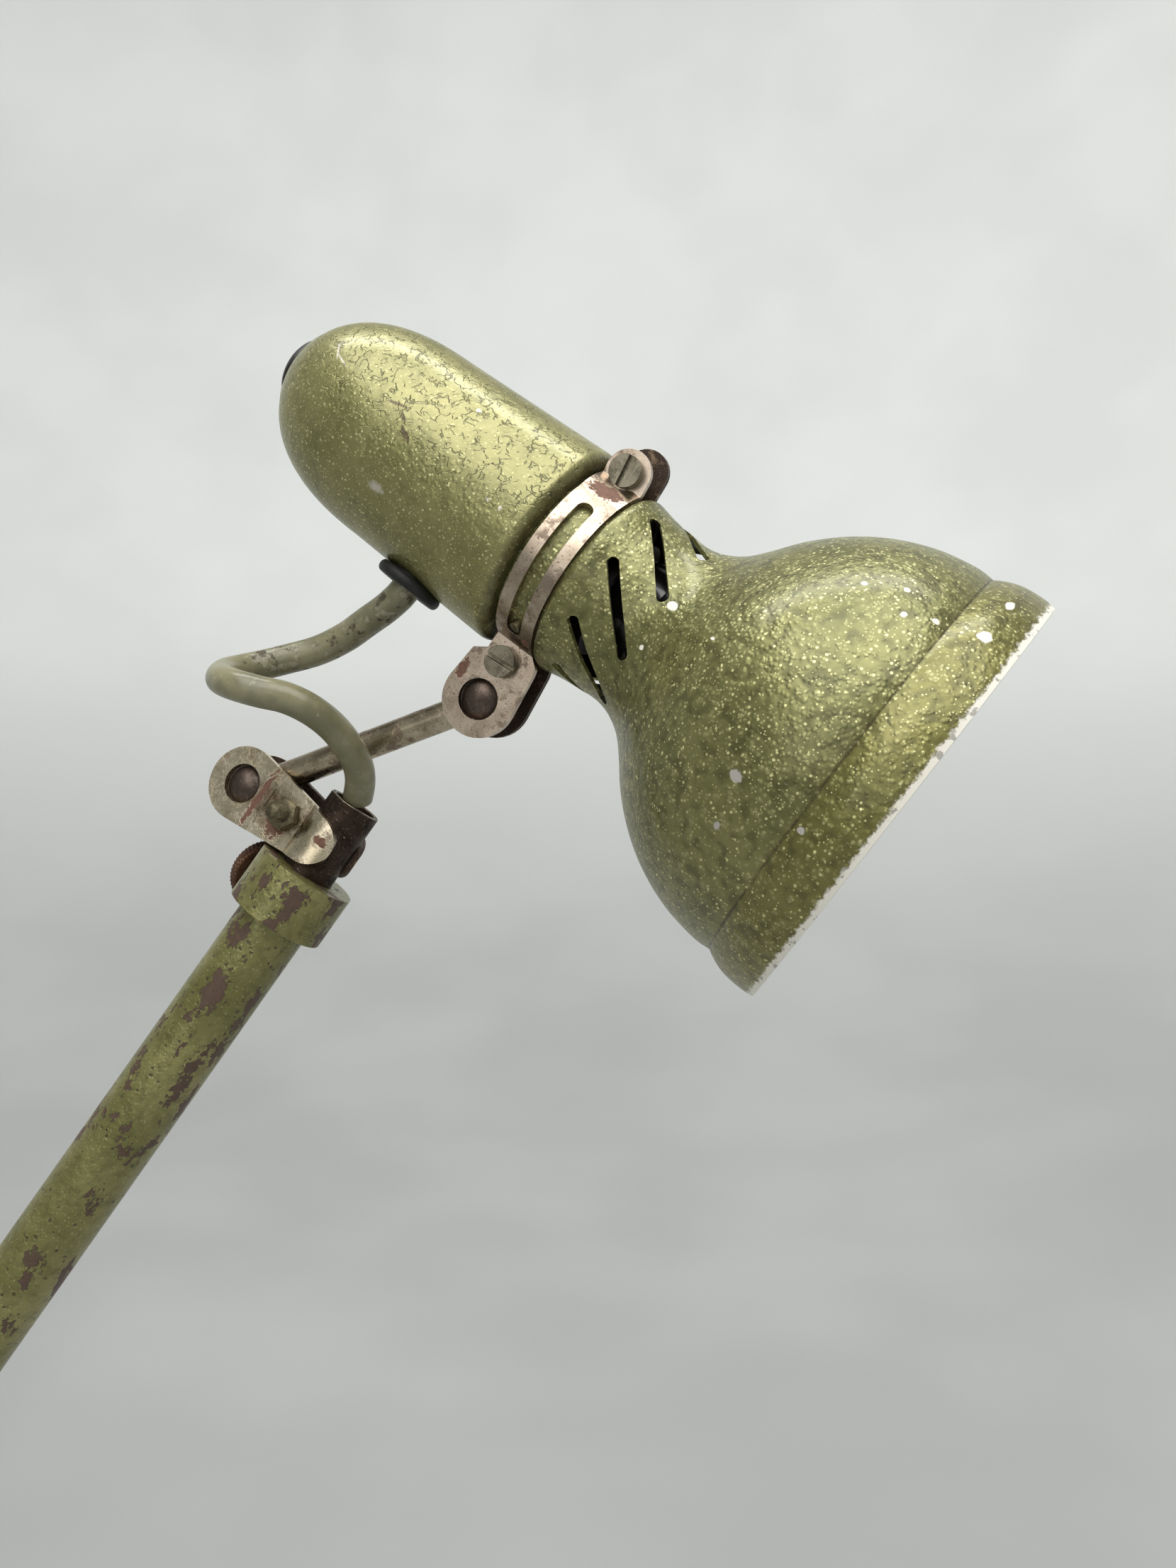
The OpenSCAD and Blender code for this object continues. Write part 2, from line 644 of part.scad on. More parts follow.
// ---- Lampholder and bulb ----
module lamp_holder() {
    color("white") on_head() difference() {
        union() {
            translate([0, 0, 88]) cylinder(r = 16.8, h = 38);
            translate([0, 0, 114.5]) cylinder(r = 22, h = 3.5);
        }
        translate([0, 0, 87]) cylinder(r = 14, h = 30);
        for (s = [-1, 1]) translate([0, s * 19.7, 110]) cylinder(r = 1.55, h = 20);
    }
}
module holder_shell() {
    color("goldenrod") on_head() translate([0, 0, 92]) difference() {
        cylinder(r = 13.95, h = 22);
        translate([0, 0, -1]) cylinder(r = 13.3, h = 24);
    }
}
module holder_contact() {
    color("goldenrod") on_head() translate([0, 0, 115.6]) cylinder(r = 5, h = 1.4);
}
module holder_bridge() {
    color("silver") on_head() translate([0, 0, neck_end]) difference() {
        cylinder(r = 26.5, h = 1.5);
        translate([0, 0, -1]) cylinder(r = 17.6, h = 4);
        for (s = [-1, 1]) translate([0, s * 19.7, -1]) cylinder(r = 1.52, h = 4);
    }
}
module holder_screws() {
    color("silver") on_head() for (s = [-1, 1]) translate([0, s * 19.7, 0]) {
        translate([0, 0, 110]) cylinder(r = 1.5, h = 8);
        translate([0, 0, 118]) cylinder(r = 2.7, h = 1.9);
    }
}
module bulb_glass() {
    line = smooth([[0.01, 14], [12, 16.5], [23, 25], [29, 37], [29.8, 47], [26.5, 57.5], [20.5, 67],
        [16, 76], [14, 85], [12.4, 91]], 2);
    inner = [for (i = [1:len(line) - 2]) shifted(line, 0.8)[i]];
    color("white") on_head() rotate_extrude() polygon(concat([[0, 14]], line, [[11.6, 91]],
        reversed(inner), [[0, 14.8]]));
}
module bulb_base() {
    color("silver") on_head() {
        translate([0, 0, 91]) cylinder(r = 13, h = 21);
        translate([0, 0, 112]) cylinder(r1 = 10, r2 = 5, h = 3.4);
    }
}
module live_wire() {
    color("saddlebrown") on_head() tube_along(smooth([[-14.98, -1.6, 136.8], [-14.2, -1.6, 136.8], [-13.4, -1.6, 136.8],
        [-10, -3, 141], [-8, -5, 150], [-7, -6, 162], [-7, -6, 171.98]], 3), 1, 8);
}
module neutral_wire() {
    color("steelblue") on_head() tube_along(smooth([[-14.98, 1.6, 136.8], [-14.2, 1.6, 136.8], [-13.4, 1.6, 136.8],
        [-10, 4, 135], [-7.2, 6.8, 130.5], [-7, 7, 128], [-7, 7, 126.02]], 3), 1, 8);
}
module switched_wire() {
    color("saddlebrown") on_head() tube_along(smooth([[7, -4, 171.98], [7, -4, 169.5], [8, -5, 162],
        [9, -6, 148], [8, -5, 136], [7, -4, 128.5], [7, -4, 126.02]], 3), 1, 8);
}

// ---- Switch ----
module switch_body() {
    color("black") on_head() difference() {
        union() {
            translate([0, 0, switch_from]) cylinder(r = 12, h = 21);
            translate([0, 0, switch_from]) cylinder(r = 8.4, h = 28.4);
        }
        translate([0, 0, bore_from]) cylinder(r = button_r + 0.1, h = 40);
    }
}
module button_bezel() {
    color("black") on_head() rotate_extrude() polygon([[8.45, 198.2], [9.8, 198.2], [9.8, 199.2],
        [9.2, 200], [8.4, 200.6], [7.4, 200.9], [7.4, 200.45], [8.45, 200.45]]);
}
module push_button() {
    dome = [for (a = [0:10:90]) [button_r * cos(a), 199.5 + 3.8 * sin(a)]];
    color("black") on_head() rotate_extrude() polygon(concat([[0, button_from], [button_r, button_from]], dome));
}
module button_spring() {
    turns = 4;
    steps = 12;
    color("silver") on_head() tube_along([for (i = [0:turns * steps])
        [5.4 * cos(360 * i / steps), 5.4 * sin(360 * i / steps), bore_from + 0.6 + 6.8 * i / (turns * steps)]],
        0.45, 6);
}

// ---- Lead between the head and the stem ----
// The route is cut into five stretches, one for each joint that it passes
lead_path = smooth(lead_route, 2);
module lead_stretch(first, last) {
    color("darkkhaki") tube_between(lead_path, first, last, lead_d / 2, 10);
}
module lead_at_band() {
    lead_stretch(0, 8);
}
module lead_at_link() {
    lead_stretch(8, 16);
}
module lead_at_ball() {
    lead_stretch(16, 23);
}
module lead_at_plates() {
    lead_stretch(23, 31);
}
module lead_at_stem() {
    lead_stretch(31, 38);
}

clamp_bracket();
screw_pad();
clamp_screw();
tommy_bar();
post_thumbscrew();
swivel_post();
arm_fork();
arm_tube();
arm_collar();
knuckle_bolt();
knuckle_washers();
knuckle_knob();
cable_gland();
lead_in_arm();
collar_thumbscrew();
stem_tube();
stem_guide_ring();
lead_in_stem();
lead_at_stem();
stem_plate_front();
stem_plate_rear();
stem_plate_bolt();
stem_plate_nut();
lead_at_plates();
lower_ball();
lead_at_ball();
link_rod();
upper_ball();
lead_at_link();
band_half_front();
band_half_rear();
ear_screw();
ear_nut();
plate_screw();
plate_nut();
lead_at_band();
shade();
cap_shell();
lead_grommet();
swivel_stop_pin();
lead_in_cap();
lamp_holder();
holder_shell();
holder_contact();
holder_bridge();
holder_screws();
bulb_glass();
bulb_base();
live_wire();
neutral_wire();
switched_wire();
switch_body();
button_bezel();
button_spring();
push_button();
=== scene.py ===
"""Looks of the bench lamp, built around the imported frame. Metres, in the frame of the CAD model."""

import json
import math

import bmesh
import bpy
from mathutils import Matrix, Vector
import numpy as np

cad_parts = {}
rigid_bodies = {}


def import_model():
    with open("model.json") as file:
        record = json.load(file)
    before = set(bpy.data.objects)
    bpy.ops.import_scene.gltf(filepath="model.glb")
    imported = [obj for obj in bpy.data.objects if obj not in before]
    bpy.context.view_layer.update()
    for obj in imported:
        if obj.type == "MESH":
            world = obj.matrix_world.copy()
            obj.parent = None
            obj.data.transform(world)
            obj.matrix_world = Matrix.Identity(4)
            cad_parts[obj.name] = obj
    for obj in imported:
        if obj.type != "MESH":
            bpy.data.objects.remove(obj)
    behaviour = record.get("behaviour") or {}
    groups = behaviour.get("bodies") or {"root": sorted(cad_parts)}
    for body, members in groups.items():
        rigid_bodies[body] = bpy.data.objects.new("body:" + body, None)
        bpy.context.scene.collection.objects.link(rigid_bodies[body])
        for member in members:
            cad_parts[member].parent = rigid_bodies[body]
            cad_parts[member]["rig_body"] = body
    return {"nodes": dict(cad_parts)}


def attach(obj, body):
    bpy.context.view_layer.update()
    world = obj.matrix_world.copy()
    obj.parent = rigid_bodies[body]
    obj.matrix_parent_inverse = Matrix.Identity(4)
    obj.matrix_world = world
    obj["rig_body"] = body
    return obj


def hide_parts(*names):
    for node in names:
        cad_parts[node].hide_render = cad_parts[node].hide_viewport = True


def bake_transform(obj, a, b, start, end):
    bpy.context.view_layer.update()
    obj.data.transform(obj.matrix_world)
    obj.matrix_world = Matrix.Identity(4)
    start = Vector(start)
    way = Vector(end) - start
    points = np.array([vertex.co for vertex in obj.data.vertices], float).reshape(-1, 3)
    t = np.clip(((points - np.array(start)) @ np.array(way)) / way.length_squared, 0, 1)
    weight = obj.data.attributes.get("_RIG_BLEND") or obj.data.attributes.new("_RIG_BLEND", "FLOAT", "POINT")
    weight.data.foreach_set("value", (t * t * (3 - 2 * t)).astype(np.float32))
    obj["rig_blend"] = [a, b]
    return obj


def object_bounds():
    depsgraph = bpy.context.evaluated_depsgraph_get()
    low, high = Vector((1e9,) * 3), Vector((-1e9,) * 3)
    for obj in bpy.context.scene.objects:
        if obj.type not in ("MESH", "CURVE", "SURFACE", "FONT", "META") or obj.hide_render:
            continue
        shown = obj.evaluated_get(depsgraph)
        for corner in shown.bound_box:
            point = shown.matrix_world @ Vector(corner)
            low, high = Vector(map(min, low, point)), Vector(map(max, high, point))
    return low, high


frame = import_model()
cad_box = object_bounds()
NODES = frame["nodes"]
MM = 0.001


# ---- Camera: level, in front of the lamp ----
LENS = 28
CAMERA_AT = (0.26745, -0.336, 0.36606)


def make_camera():
    data = bpy.data.cameras.new("camera")
    data.lens = LENS
    data.sensor_width = 36
    data.clip_start = 0.01
    camera = bpy.data.objects.new("camera", data)
    camera.location = CAMERA_AT
    camera.rotation_euler = (math.pi / 2, 0, 0)
    bpy.context.scene.collection.objects.link(camera)
    bpy.context.scene.camera = camera


make_camera()


# ---- Places: the local frames of the lamp's parts ----
def turn(axis, degrees):
    return Matrix.Rotation(math.radians(degrees), 4, axis)


def shift(x, y, z):
    return Matrix.Translation(Vector((x, y, z)) * MM)


def moved_to(place, facing):
    """A frame that faces its own way, with its origin at another frame's, to the micrometre."""
    return shift(*(round(v / MM, 3) for v in place.translation)) @ facing


# The chain of the CAD model, from the knuckle up to the head
PIVOT_H = 72
ARM_L = 330
ARM_LEAN = 35.2
PLATE_UP = 9.2
PLATE_TURN = -19.7
BALL_OFFSET = 29
LINK_L = 73.6
LINK_TURN = -15.07
LINK_RISE = 18.86
HEAD_DIP = 37.93
HEAD_TURN = 11.48
BAND_TURN = 11.8
BAND_H = 102.6
CLAMP_BALL = 42
LEAD_H = 136.8

HOME = Matrix.Identity(4)
FACE_FRONT = turn("X", 90)
ARM = shift(0, 0, PIVOT_H) @ turn("Y", ARM_LEAN)
LOCK = ARM @ shift(0, 0, ARM_L - 10.1) @ turn("Z", 127) @ turn("Y", 90)
PLATES = ARM @ shift(0, 0, ARM_L + PLATE_UP) @ turn("Z", PLATE_TURN)
LINK = moved_to(PLATES @ shift(-BALL_OFFSET, 0, 0), turn("Z", LINK_TURN) @ turn("Y", -LINK_RISE))
UPPER_BALL = LINK @ shift(LINK_L, 0, 0)
HEAD_FACING = turn("Y", HEAD_DIP - 90) @ turn("X", -HEAD_TURN)
BAND_FACING = HEAD_FACING @ turn("Z", -BAND_TURN)
HEAD = moved_to(moved_to(UPPER_BALL, BAND_FACING) @ shift(CLAMP_BALL, 0, -BAND_H), HEAD_FACING)
BAND = HEAD @ turn("Z", -BAND_TURN)
BAND_MID = BAND @ shift(0, 0, BAND_H)


# ---- Meshes ----
def unit(v):
    return v.normalized()


def knot(a, b, c, d, t):
    return (2 * b + (c - a) * t + (2 * a - 5 * b + 4 * c - d) * t * t
            + (3 * b - a - 3 * c + d) * t * t * t) / 2


def smooth(points, steps):
    """A smooth curve through the points, with a number of steps between each two."""
    last = len(points) - 1
    pick = lambda i: points[min(max(i, 0), last)]
    line = [knot(pick(i - 1), pick(i), pick(i + 1), pick(i + 2), k / steps)
            for i in range(last) for k in range(steps)]
    return line + [points[-1]]


def piece(name, mesh, place, node, material, sharp=35):
    """An object from a mesh in a local frame, which stands for a CAD node and rides on its body."""
    obj = bpy.data.objects.new(name, mesh)
    bpy.context.scene.collection.objects.link(obj)
    mesh.materials.clear()
    mesh.materials.append(material)
    obj.matrix_world = place
    for face in mesh.polygons:
        face.use_smooth = True
    mesh.set_sharp_from_angle(angle=math.radians(sharp))
    if node:
        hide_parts(node)
        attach(obj, NODES[node]["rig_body"])
    return obj


def mesh_from(name, verts, faces):
    mesh = bpy.data.meshes.new(name)
    mesh.from_pydata([Vector(v) * MM for v in verts], [], faces)
    bm = bmesh.new()
    bm.from_mesh(mesh)
    bmesh.ops.remove_doubles(bm, verts=bm.verts, dist=1e-7)
    bmesh.ops.recalc_face_normals(bm, faces=bm.faces)
    bm.to_mesh(mesh)
    bm.free()
    return mesh


def ring_faces(pairs, count):
    """The four-sided faces between rings of points, for each pair of ring numbers."""
    faces = []
    for i, j in pairs:
        for k in range(count):
            m = (k + 1) % count
            faces.append((i * count + k, i * count + m, j * count + m, j * count + k))
    return faces


def turned(name, rows, count, wave=None, closed=False):
    """A turned shape about Z from (radius, height) rows. The wave cuts into rows with a third value."""
    verts = []
    for row in rows:
        r, z = row[0], row[1]
        for k in range(count):
            a = 2 * math.pi * k / count
            cut = wave(a, z) if wave and len(row) > 2 else 0
            verts.append(((r - cut) * math.cos(a), (r - cut) * math.sin(a), z))
    pairs = [(i, i + 1) for i in range(len(rows) - 1)] + ([(len(rows) - 1, 0)] if closed else [])
    faces = ring_faces(pairs, count)
    if not closed:
        faces.append(tuple(range(count - 1, -1, -1)))
        faces.append(tuple((len(rows) - 1) * count + k for k in range(count)))
    return mesh_from(name, verts, faces)


def triangle(x):
    return abs(2 * (x % 1) - 1)


def diamonds(count, pitch, depth):
    def wave(a, z):
        one = triangle(count * a / (2 * math.pi) + z / pitch)
        two = triangle(count * a / (2 * math.pi) - z / pitch)
        return depth * (1 - min(one, two, 0.75) / 0.75)
    return wave


def thread(pitch, depth):
    return lambda a, z: depth * triangle(z / pitch - a / (2 * math.pi))


def span(low, high, step):
    count = max(1, round((high - low) / step))
    return [low + (high - low) * i / count for i in range(count + 1)]


def stud(name, r, low, high, pitch, depth):
    """A threaded stud along Z with a chamfered upper end."""
    rows = [(r - depth, low)]
    rows += [(r, z, 1) for z in span(low + 0.2, high - 0.9, pitch / 8)]
    rows += [(r - depth, high - 0.7), (r - depth - 0.6, high)]
    return turned(name, rows, 48, thread(pitch, depth))


def nut(name, af, low, high, hole):
    """A hexagon nut along Z with both faces chamfered, corners on X."""
    count, flat = 96, af / 2
    face_r = flat * 0.95
    verts = []
    for level in range(6):
        for k in range(count):
            a = 2 * math.pi * k / count
            rim = flat / math.cos((a % (math.pi / 3)) - math.pi / 6)
            drop = (rim - face_r) * 0.6
            r, z = [(hole, high), (face_r, high), (rim, high - drop),
                    (rim, low + drop), (face_r, low), (hole, low)][level]
            verts.append((r * math.cos(a), r * math.sin(a), z))
    return mesh_from(name, verts, ring_faces([(i, (i + 1) % 6) for i in range(6)], count))


def apply_modifiers(obj):
    graph = bpy.context.evaluated_depsgraph_get()
    mesh = bpy.data.meshes.new_from_object(obj.evaluated_get(graph))
    obj.modifiers.clear()
    obj.data = mesh
    return mesh


def eased(node, place, width, material, edge=None):
    """A copy of a CAD node's shape in a local frame, with its edges rounded off and worn."""
    sharp, eased_from = 35, 40
    mesh = NODES[node].data.copy()
    mesh.transform(place.inverted())
    bm = bmesh.new()
    bm.from_mesh(mesh)
    bmesh.ops.remove_doubles(bm, verts=bm.verts, dist=2e-6)
    bmesh.ops.dissolve_limit(bm, angle_limit=math.radians(0.6), verts=bm.verts, edges=bm.edges,
                             delimit=set())
    bmesh.ops.recalc_face_normals(bm, faces=bm.faces)
    bm.to_mesh(mesh)
    bm.free()
    for attribute in [a.name for a in mesh.attributes if a.name == "custom_normal"]:
        mesh.attributes.remove(mesh.attributes[attribute])
    obj = bpy.data.objects.new(node + "_eased", mesh)
    bpy.context.scene.collection.objects.link(obj)
    bevel = obj.modifiers.new("ease", "BEVEL")
    bevel.width = width * MM
    bevel.segments = 2
    bevel.limit_method = "ANGLE"
    bevel.angle_limit = math.radians(eased_from)
    bevel.use_clamp_overlap = True
    bevel.harden_normals = True
    mesh.materials.clear()
    mesh.materials.append(material)
    if edge:
        mesh.materials.append(edge)
        bevel.material = 1
    for face in mesh.polygons:
        face.use_smooth = True
    mesh.set_sharp_from_angle(angle=math.radians(sharp))
    bpy.context.view_layer.update()
    apply_modifiers(obj)
    obj.matrix_world = place
    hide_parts(node)
    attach(obj, NODES[node]["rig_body"])


def cut(mesh, cutters):
    """The mesh less the cutters, as an exact boolean."""
    obj = bpy.data.objects.new("cut", mesh)
    bpy.context.scene.collection.objects.link(obj)
    made = []
    for cutter in cutters:
        tool = bpy.data.objects.new("tool", cutter)
        bpy.context.scene.collection.objects.link(tool)
        made.append(tool)
        step = obj.modifiers.new("cut", "BOOLEAN")
        step.operation = "DIFFERENCE"
        step.solver = "EXACT"
        step.object = tool
    bpy.context.view_layer.update()
    result = apply_modifiers(obj)
    for o in made + [obj]:
        bpy.data.objects.remove(o)
    return result


# ---- Materials ----
def rgb(r, g, b):
    """A linear colour from 0-255 display values."""
    curve = lambda c: c / 12.92 if c <= 0.04045 else ((c + 0.055) / 1.055) ** 2.4
    return (curve(r / 255), curve(g / 255), curve(b / 255), 1)


class Look:
    """A material being put together. Each method adds a node and returns its output."""

    def __init__(self, name, **surface):
        self.material = bpy.data.materials.new(name)
        self.material.use_nodes = True
        self.tree = self.material.node_tree
        self.tree.nodes.clear()
        out = self.tree.nodes.new("ShaderNodeOutputMaterial")
        self.surface = self.tree.nodes.new("ShaderNodeBsdfPrincipled")
        self.tree.links.new(self.surface.outputs[0], out.inputs[0])
        for socket, value in surface.items():
            self.set(socket.replace("_", " "), value)
        where = self.tree.nodes.new("ShaderNodeTexCoord").outputs["Object"]
        self.p = self.vector("SCALE", where, scale=1000)

    def set(self, socket, value):
        self.plug(self.surface.inputs[socket], value)

    def plug(self, socket, value):
        if isinstance(value, bpy.types.NodeSocket):
            self.tree.links.new(value, socket)
        else:
            socket.default_value = value

    def math(self, op, a, b=0.0, clamp=False):
        node = self.tree.nodes.new("ShaderNodeMath")
        node.operation = op
        node.use_clamp = clamp
        for socket, value in zip(node.inputs, (a, b)):
            self.plug(socket, value)
        return node.outputs[0]

    def vector(self, op, a, b=None, scale=None):
        node = self.tree.nodes.new("ShaderNodeVectorMath")
        node.operation = op
        self.plug(node.inputs[0], a)
        if b is not None:
            self.plug(node.inputs[1], b)
        if scale is not None:
            self.plug(node.inputs["Scale"], scale)
        return node.outputs["Value"] if op in ("LENGTH", "DISTANCE", "DOT_PRODUCT") else node.outputs[0]

    def noise(self, size, detail=3.0, rough=0.55, p=None, colour=False):
        node = self.tree.nodes.new("ShaderNodeTexNoise")
        self.plug(node.inputs["Vector"], p or self.p)
        node.inputs["Scale"].default_value = 1 / size
        node.inputs["Detail"].default_value = detail
        node.inputs["Roughness"].default_value = rough
        return node.outputs["Color" if colour else "Fac"]

    def cells(self, size, feature="F1", p=None, output="Distance"):
        node = self.tree.nodes.new("ShaderNodeTexVoronoi")
        node.feature = feature
        self.plug(node.inputs["Vector"], p or self.p)
        node.inputs["Scale"].default_value = 1 / size
        return node.outputs[output]

    def stretched(self, x, y, z, turn_by=(0, 0, 0)):
        """The place, with grain that is longer along the axes with the larger numbers."""
        node = self.tree.nodes.new("ShaderNodeMapping")
        self.plug(node.inputs["Vector"], self.p)
        node.inputs["Rotation"].default_value = [math.radians(a) for a in turn_by]
        node.inputs["Scale"].default_value = (1 / x, 1 / y, 1 / z)
        return node.outputs[0]

    def warped(self, size, amount, p=None):
        wobble = self.vector("SUBTRACT", self.noise(size, 2, colour=True, p=p), (0.5, 0.5, 0.5))
        return self.vector("ADD", p or self.p, self.vector("SCALE", wobble, scale=amount))

    def fade(self, value, low, high, start=0.0, end=1.0):
        node = self.tree.nodes.new("ShaderNodeMapRange")
        node.interpolation_type = "SMOOTHSTEP"
        self.plug(node.inputs[0], value)
        for socket, number in zip(node.inputs[1:5], (low, high, start, end)):
            socket.default_value = number
        return node.outputs[0]

    def mix(self, amount, a, b):
        node = self.tree.nodes.new("ShaderNodeMix")
        node.data_type = "RGBA"
        self.plug(node.inputs[0], amount)
        self.plug(node.inputs[6], a)
        self.plug(node.inputs[7], b)
        return node.outputs[2]

    def blend(self, amount, a, b):
        """A number between a and b."""
        node = self.tree.nodes.new("ShaderNodeMix")
        self.plug(node.inputs[0], amount)
        self.plug(node.inputs[2], a)
        self.plug(node.inputs[3], b)
        return node.outputs[0]

    def along(self, axis, p=None):
        node = self.tree.nodes.new("ShaderNodeSeparateXYZ")
        self.plug(node.inputs[0], p or self.p)
        return node.outputs[axis]

    def spots(self, places, ragged=0.5, edge=0.2):
        """A mask that is 1 in each of the ragged spots, given as centre, radii and, if tilted, a tilt."""
        wobble = self.math("MULTIPLY", self.math("SUBTRACT", self.noise(1.1, 3), 0.5), 2 * ragged)
        total = None
        for centre, radii, *tilt in places:
            node = self.tree.nodes.new("ShaderNodeMapping")
            node.vector_type = "TEXTURE"
            self.plug(node.inputs["Vector"], self.p)
            node.inputs["Location"].default_value = centre
            if tilt:
                node.inputs["Rotation"].default_value = [math.radians(a) for a in tilt[0]]
            node.inputs["Scale"].default_value = radii
            far = self.math("ADD", self.vector("LENGTH", node.outputs[0]), wobble)
            inside = self.fade(far, 1 - edge, 1 + edge, 1, 0)
            total = inside if total is None else self.math("MAXIMUM", total, inside)
        return total

    def bump(self, height, depth, base=None):
        """A bump of a depth in millimetres."""
        node = self.tree.nodes.new("ShaderNodeBump")
        node.inputs["Distance"].default_value = depth * MM
        node.inputs["Strength"].default_value = 1
        self.plug(node.inputs["Height"], height)
        if base is not None:
            self.plug(node.inputs["Normal"], base)
        return node.outputs[0]

    def done(self, colour=None, roughness=None, normal=None, metallic=None):
        for socket, value in (("Base Color", colour), ("Roughness", roughness),
                              ("Normal", normal), ("Metallic", metallic)):
            if value is not None:
                self.set(socket, value)
        return self.material


def hammered(look, cell):
    """Hammer paint: raised bumps of two sizes, as a height and a mask of the low places between."""
    wide = look.cells(cell, "SMOOTH_F1", look.warped(cell * 2.4, cell * 0.5))
    small = look.cells(cell * 0.55, "F1", look.warped(cell, cell * 0.35))
    height = look.math("ADD", look.math("MULTIPLY", look.fade(wide, 0.1, 0.7, 1, 0), 0.6),
                       look.math("MULTIPLY", look.fade(small, 0.05, 0.6, 1, 0), 0.5))
    return height, look.fade(wide, 0.42, 0.7)


def flake_glints(look, size, share):
    """Small bright flakes, painted as glints: a round spot in a share of small cells."""
    spot = look.fade(look.cells(size), 0.13, 0.3, 1, 0)
    chance = look.along(0, look.cells(size, output="Color"))
    return look.math("MULTIPLY", spot, look.fade(chance, share, share + 0.08, 1, 0))


def shade_paint():
    look = Look("shade_paint", Metallic=0.55, Coat_Weight=0.25, Coat_Roughness=0.2)
    h = look.along(2)
    height, low = hammered(look, 2.3)
    fine = look.noise(0.9, 3)
    skirt = look.fade(look.math("ADD", h, look.math("MULTIPLY", look.noise(4), 3)), 15, 18, 1, 0)
    colour = look.mix(look.fade(look.noise(26, 3), 0.35, 0.65), rgb(110, 110, 66), rgb(128, 126, 78))
    colour = look.mix(look.math("MULTIPLY", skirt, 0.6), colour, rgb(120, 114, 56))
    colour = look.mix(look.fade(look.noise(7, 4), 0.5, 0.75, 0, 0.5), colour, rgb(88, 88, 48))
    colour = look.mix(look.math("MULTIPLY", low, 0.55), colour, rgb(72, 70, 38))
    # Painted highlight: the tops of the bumps drawn lighter
    colour = look.mix(look.fade(height, 0.45, 0.95, 0, 0.5), colour, rgb(172, 170, 118))
    # Painted glints: pale flakes drawn as bright spots, in random patches
    patch = look.fade(look.noise(11, 3), 0.3, 0.6, 0.45, 1)
    bright = look.math("MAXIMUM", flake_glints(look, 1.5, 0.42), flake_glints(look, 0.8, 0.4))
    colour = look.mix(look.math("MULTIPLY", bright, patch), colour, rgb(226, 220, 160))
    # Painted shade: a dark line along the crease
    wobble = look.math("MULTIPLY", look.math("SUBTRACT", look.noise(3, 3), 0.5), 0.7)
    line = look.math("ABSOLUTE", look.math("SUBTRACT", look.math("ADD", h, wobble), 15.1))
    crease_shade = look.math("MULTIPLY", look.fade(line, 0.1, 0.5, 1, 0),
                       look.fade(look.noise(5, 3), 0.35, 0.6, 0.25, 0.8))
    colour = look.mix(crease_shade, colour, rgb(60, 48, 26))
    # White paint along the rim, with chips down to grey metal
    ragged = look.math("MULTIPLY", look.math("SUBTRACT", look.noise(1.6, 4, 0.7), 0.5), 3.4)
    edge = look.fade(look.math("ADD", h, ragged), 1.0, 1.9, 1, 0)
    chips = look.math("MULTIPLY", edge, look.fade(look.noise(2.6, 3), 0.6, 0.64))
    white = look.spots([
        ((3, -26, 70), (1.1, 1.6, 1.6)), ((43, -39, 8), (2.4, 2.2, 1.0)), ((32, -49, 8), (1.9, 1.7, 1.6)),
        ((26, -49, 24), (0.9, 0.9, 0.8)), ((32, -45, 27), (0.8, 0.9, 0.8)), ((29, -48, 18), (0.8, 0.8, 0.9)),
        ((28, -45, 35), (0.7, 0.8, 0.7)), ((-9, -24, 70), (0.7, 1.0, 0.7)), ((0, -41, 55), (0.5, 0.8, 0.9)),
        ((-38, 34, 33), (1.4, 1.3, 1.1)), ((14, 46, 40), (1.0, 1.1, 1.6)), ((-8, 55, 12), (1.6, 1.6, 1.0)),
    ], 0.4, 0.12)
    colour = look.mix(look.math("MAXIMUM", edge, white), colour, rgb(232, 228, 216))
    grey = look.spots([
        ((-22, -50, 31), (1.3, 1.3, 1.7)), ((-32, -44, 28), (1.2, 1.2, 1.0)), ((40, 20, 48), (1.6, 1.6, 1.2)),
        ((-23, -52, 13), (0.8, 1.0, 1.1)), ((-30, -46, 6), (1.9, 1.6, 1.2)),
    ], 0.5, 0.12)
    bare = look.math("MAXIMUM", chips, grey)
    colour = look.mix(bare, colour, rgb(168, 164, 156))
    scratch = look.fade(look.noise(1, 2, p=look.stretched(0.9, 0.9, 26, (18, -32, 0))), 0.72, 0.76)
    scratch = look.math("MULTIPLY", scratch, look.fade(look.noise(14, 2), 0.5, 0.6))
    colour = look.mix(look.math("MULTIPLY", scratch, 0.6), colour, rgb(196, 192, 160))
    covered = look.math("MAXIMUM", edge, look.math("MAXIMUM", white, grey))
    normal = look.bump(look.math("MULTIPLY", height, look.math("SUBTRACT", 1, covered, clamp=True)), 0.22)
    grain = look.math("SUBTRACT", look.noise(0.5, 3), look.math("MULTIPLY", bare, 0.8))
    normal = look.bump(grain, 0.02, normal)
    metallic = look.blend(covered, 0.55, 0.0)
    return look.done(colour, look.blend(fine, 0.3, 0.48), normal, metallic)


def inner_paint():
    """White enamel inside the bell with brown specks, going near black up towards the neck: painted shade
    deep in the neck.
    """
    look = Look("inner_enamel", Coat_Weight=0.3, Coat_Roughness=0.2)
    h = look.math("ADD", look.along(2), look.math("MULTIPLY", look.noise(9, 4), 10))
    colour = look.mix(look.noise(14, 4), rgb(226, 223, 210), rgb(214, 209, 194))
    # Painted shade: near black up towards the neck
    colour = look.mix(look.fade(h, 50, 68), colour, rgb(46, 42, 34))
    specked = look.fade(look.cells(5, p=look.warped(5, 4)), 0.06, 0.12, 0.7, 0)
    colour = look.mix(specked, colour, rgb(96, 78, 54))
    return look.done(colour, look.blend(look.noise(3, 3), 0.25, 0.45), look.bump(look.noise(2.4, 3), 0.08))


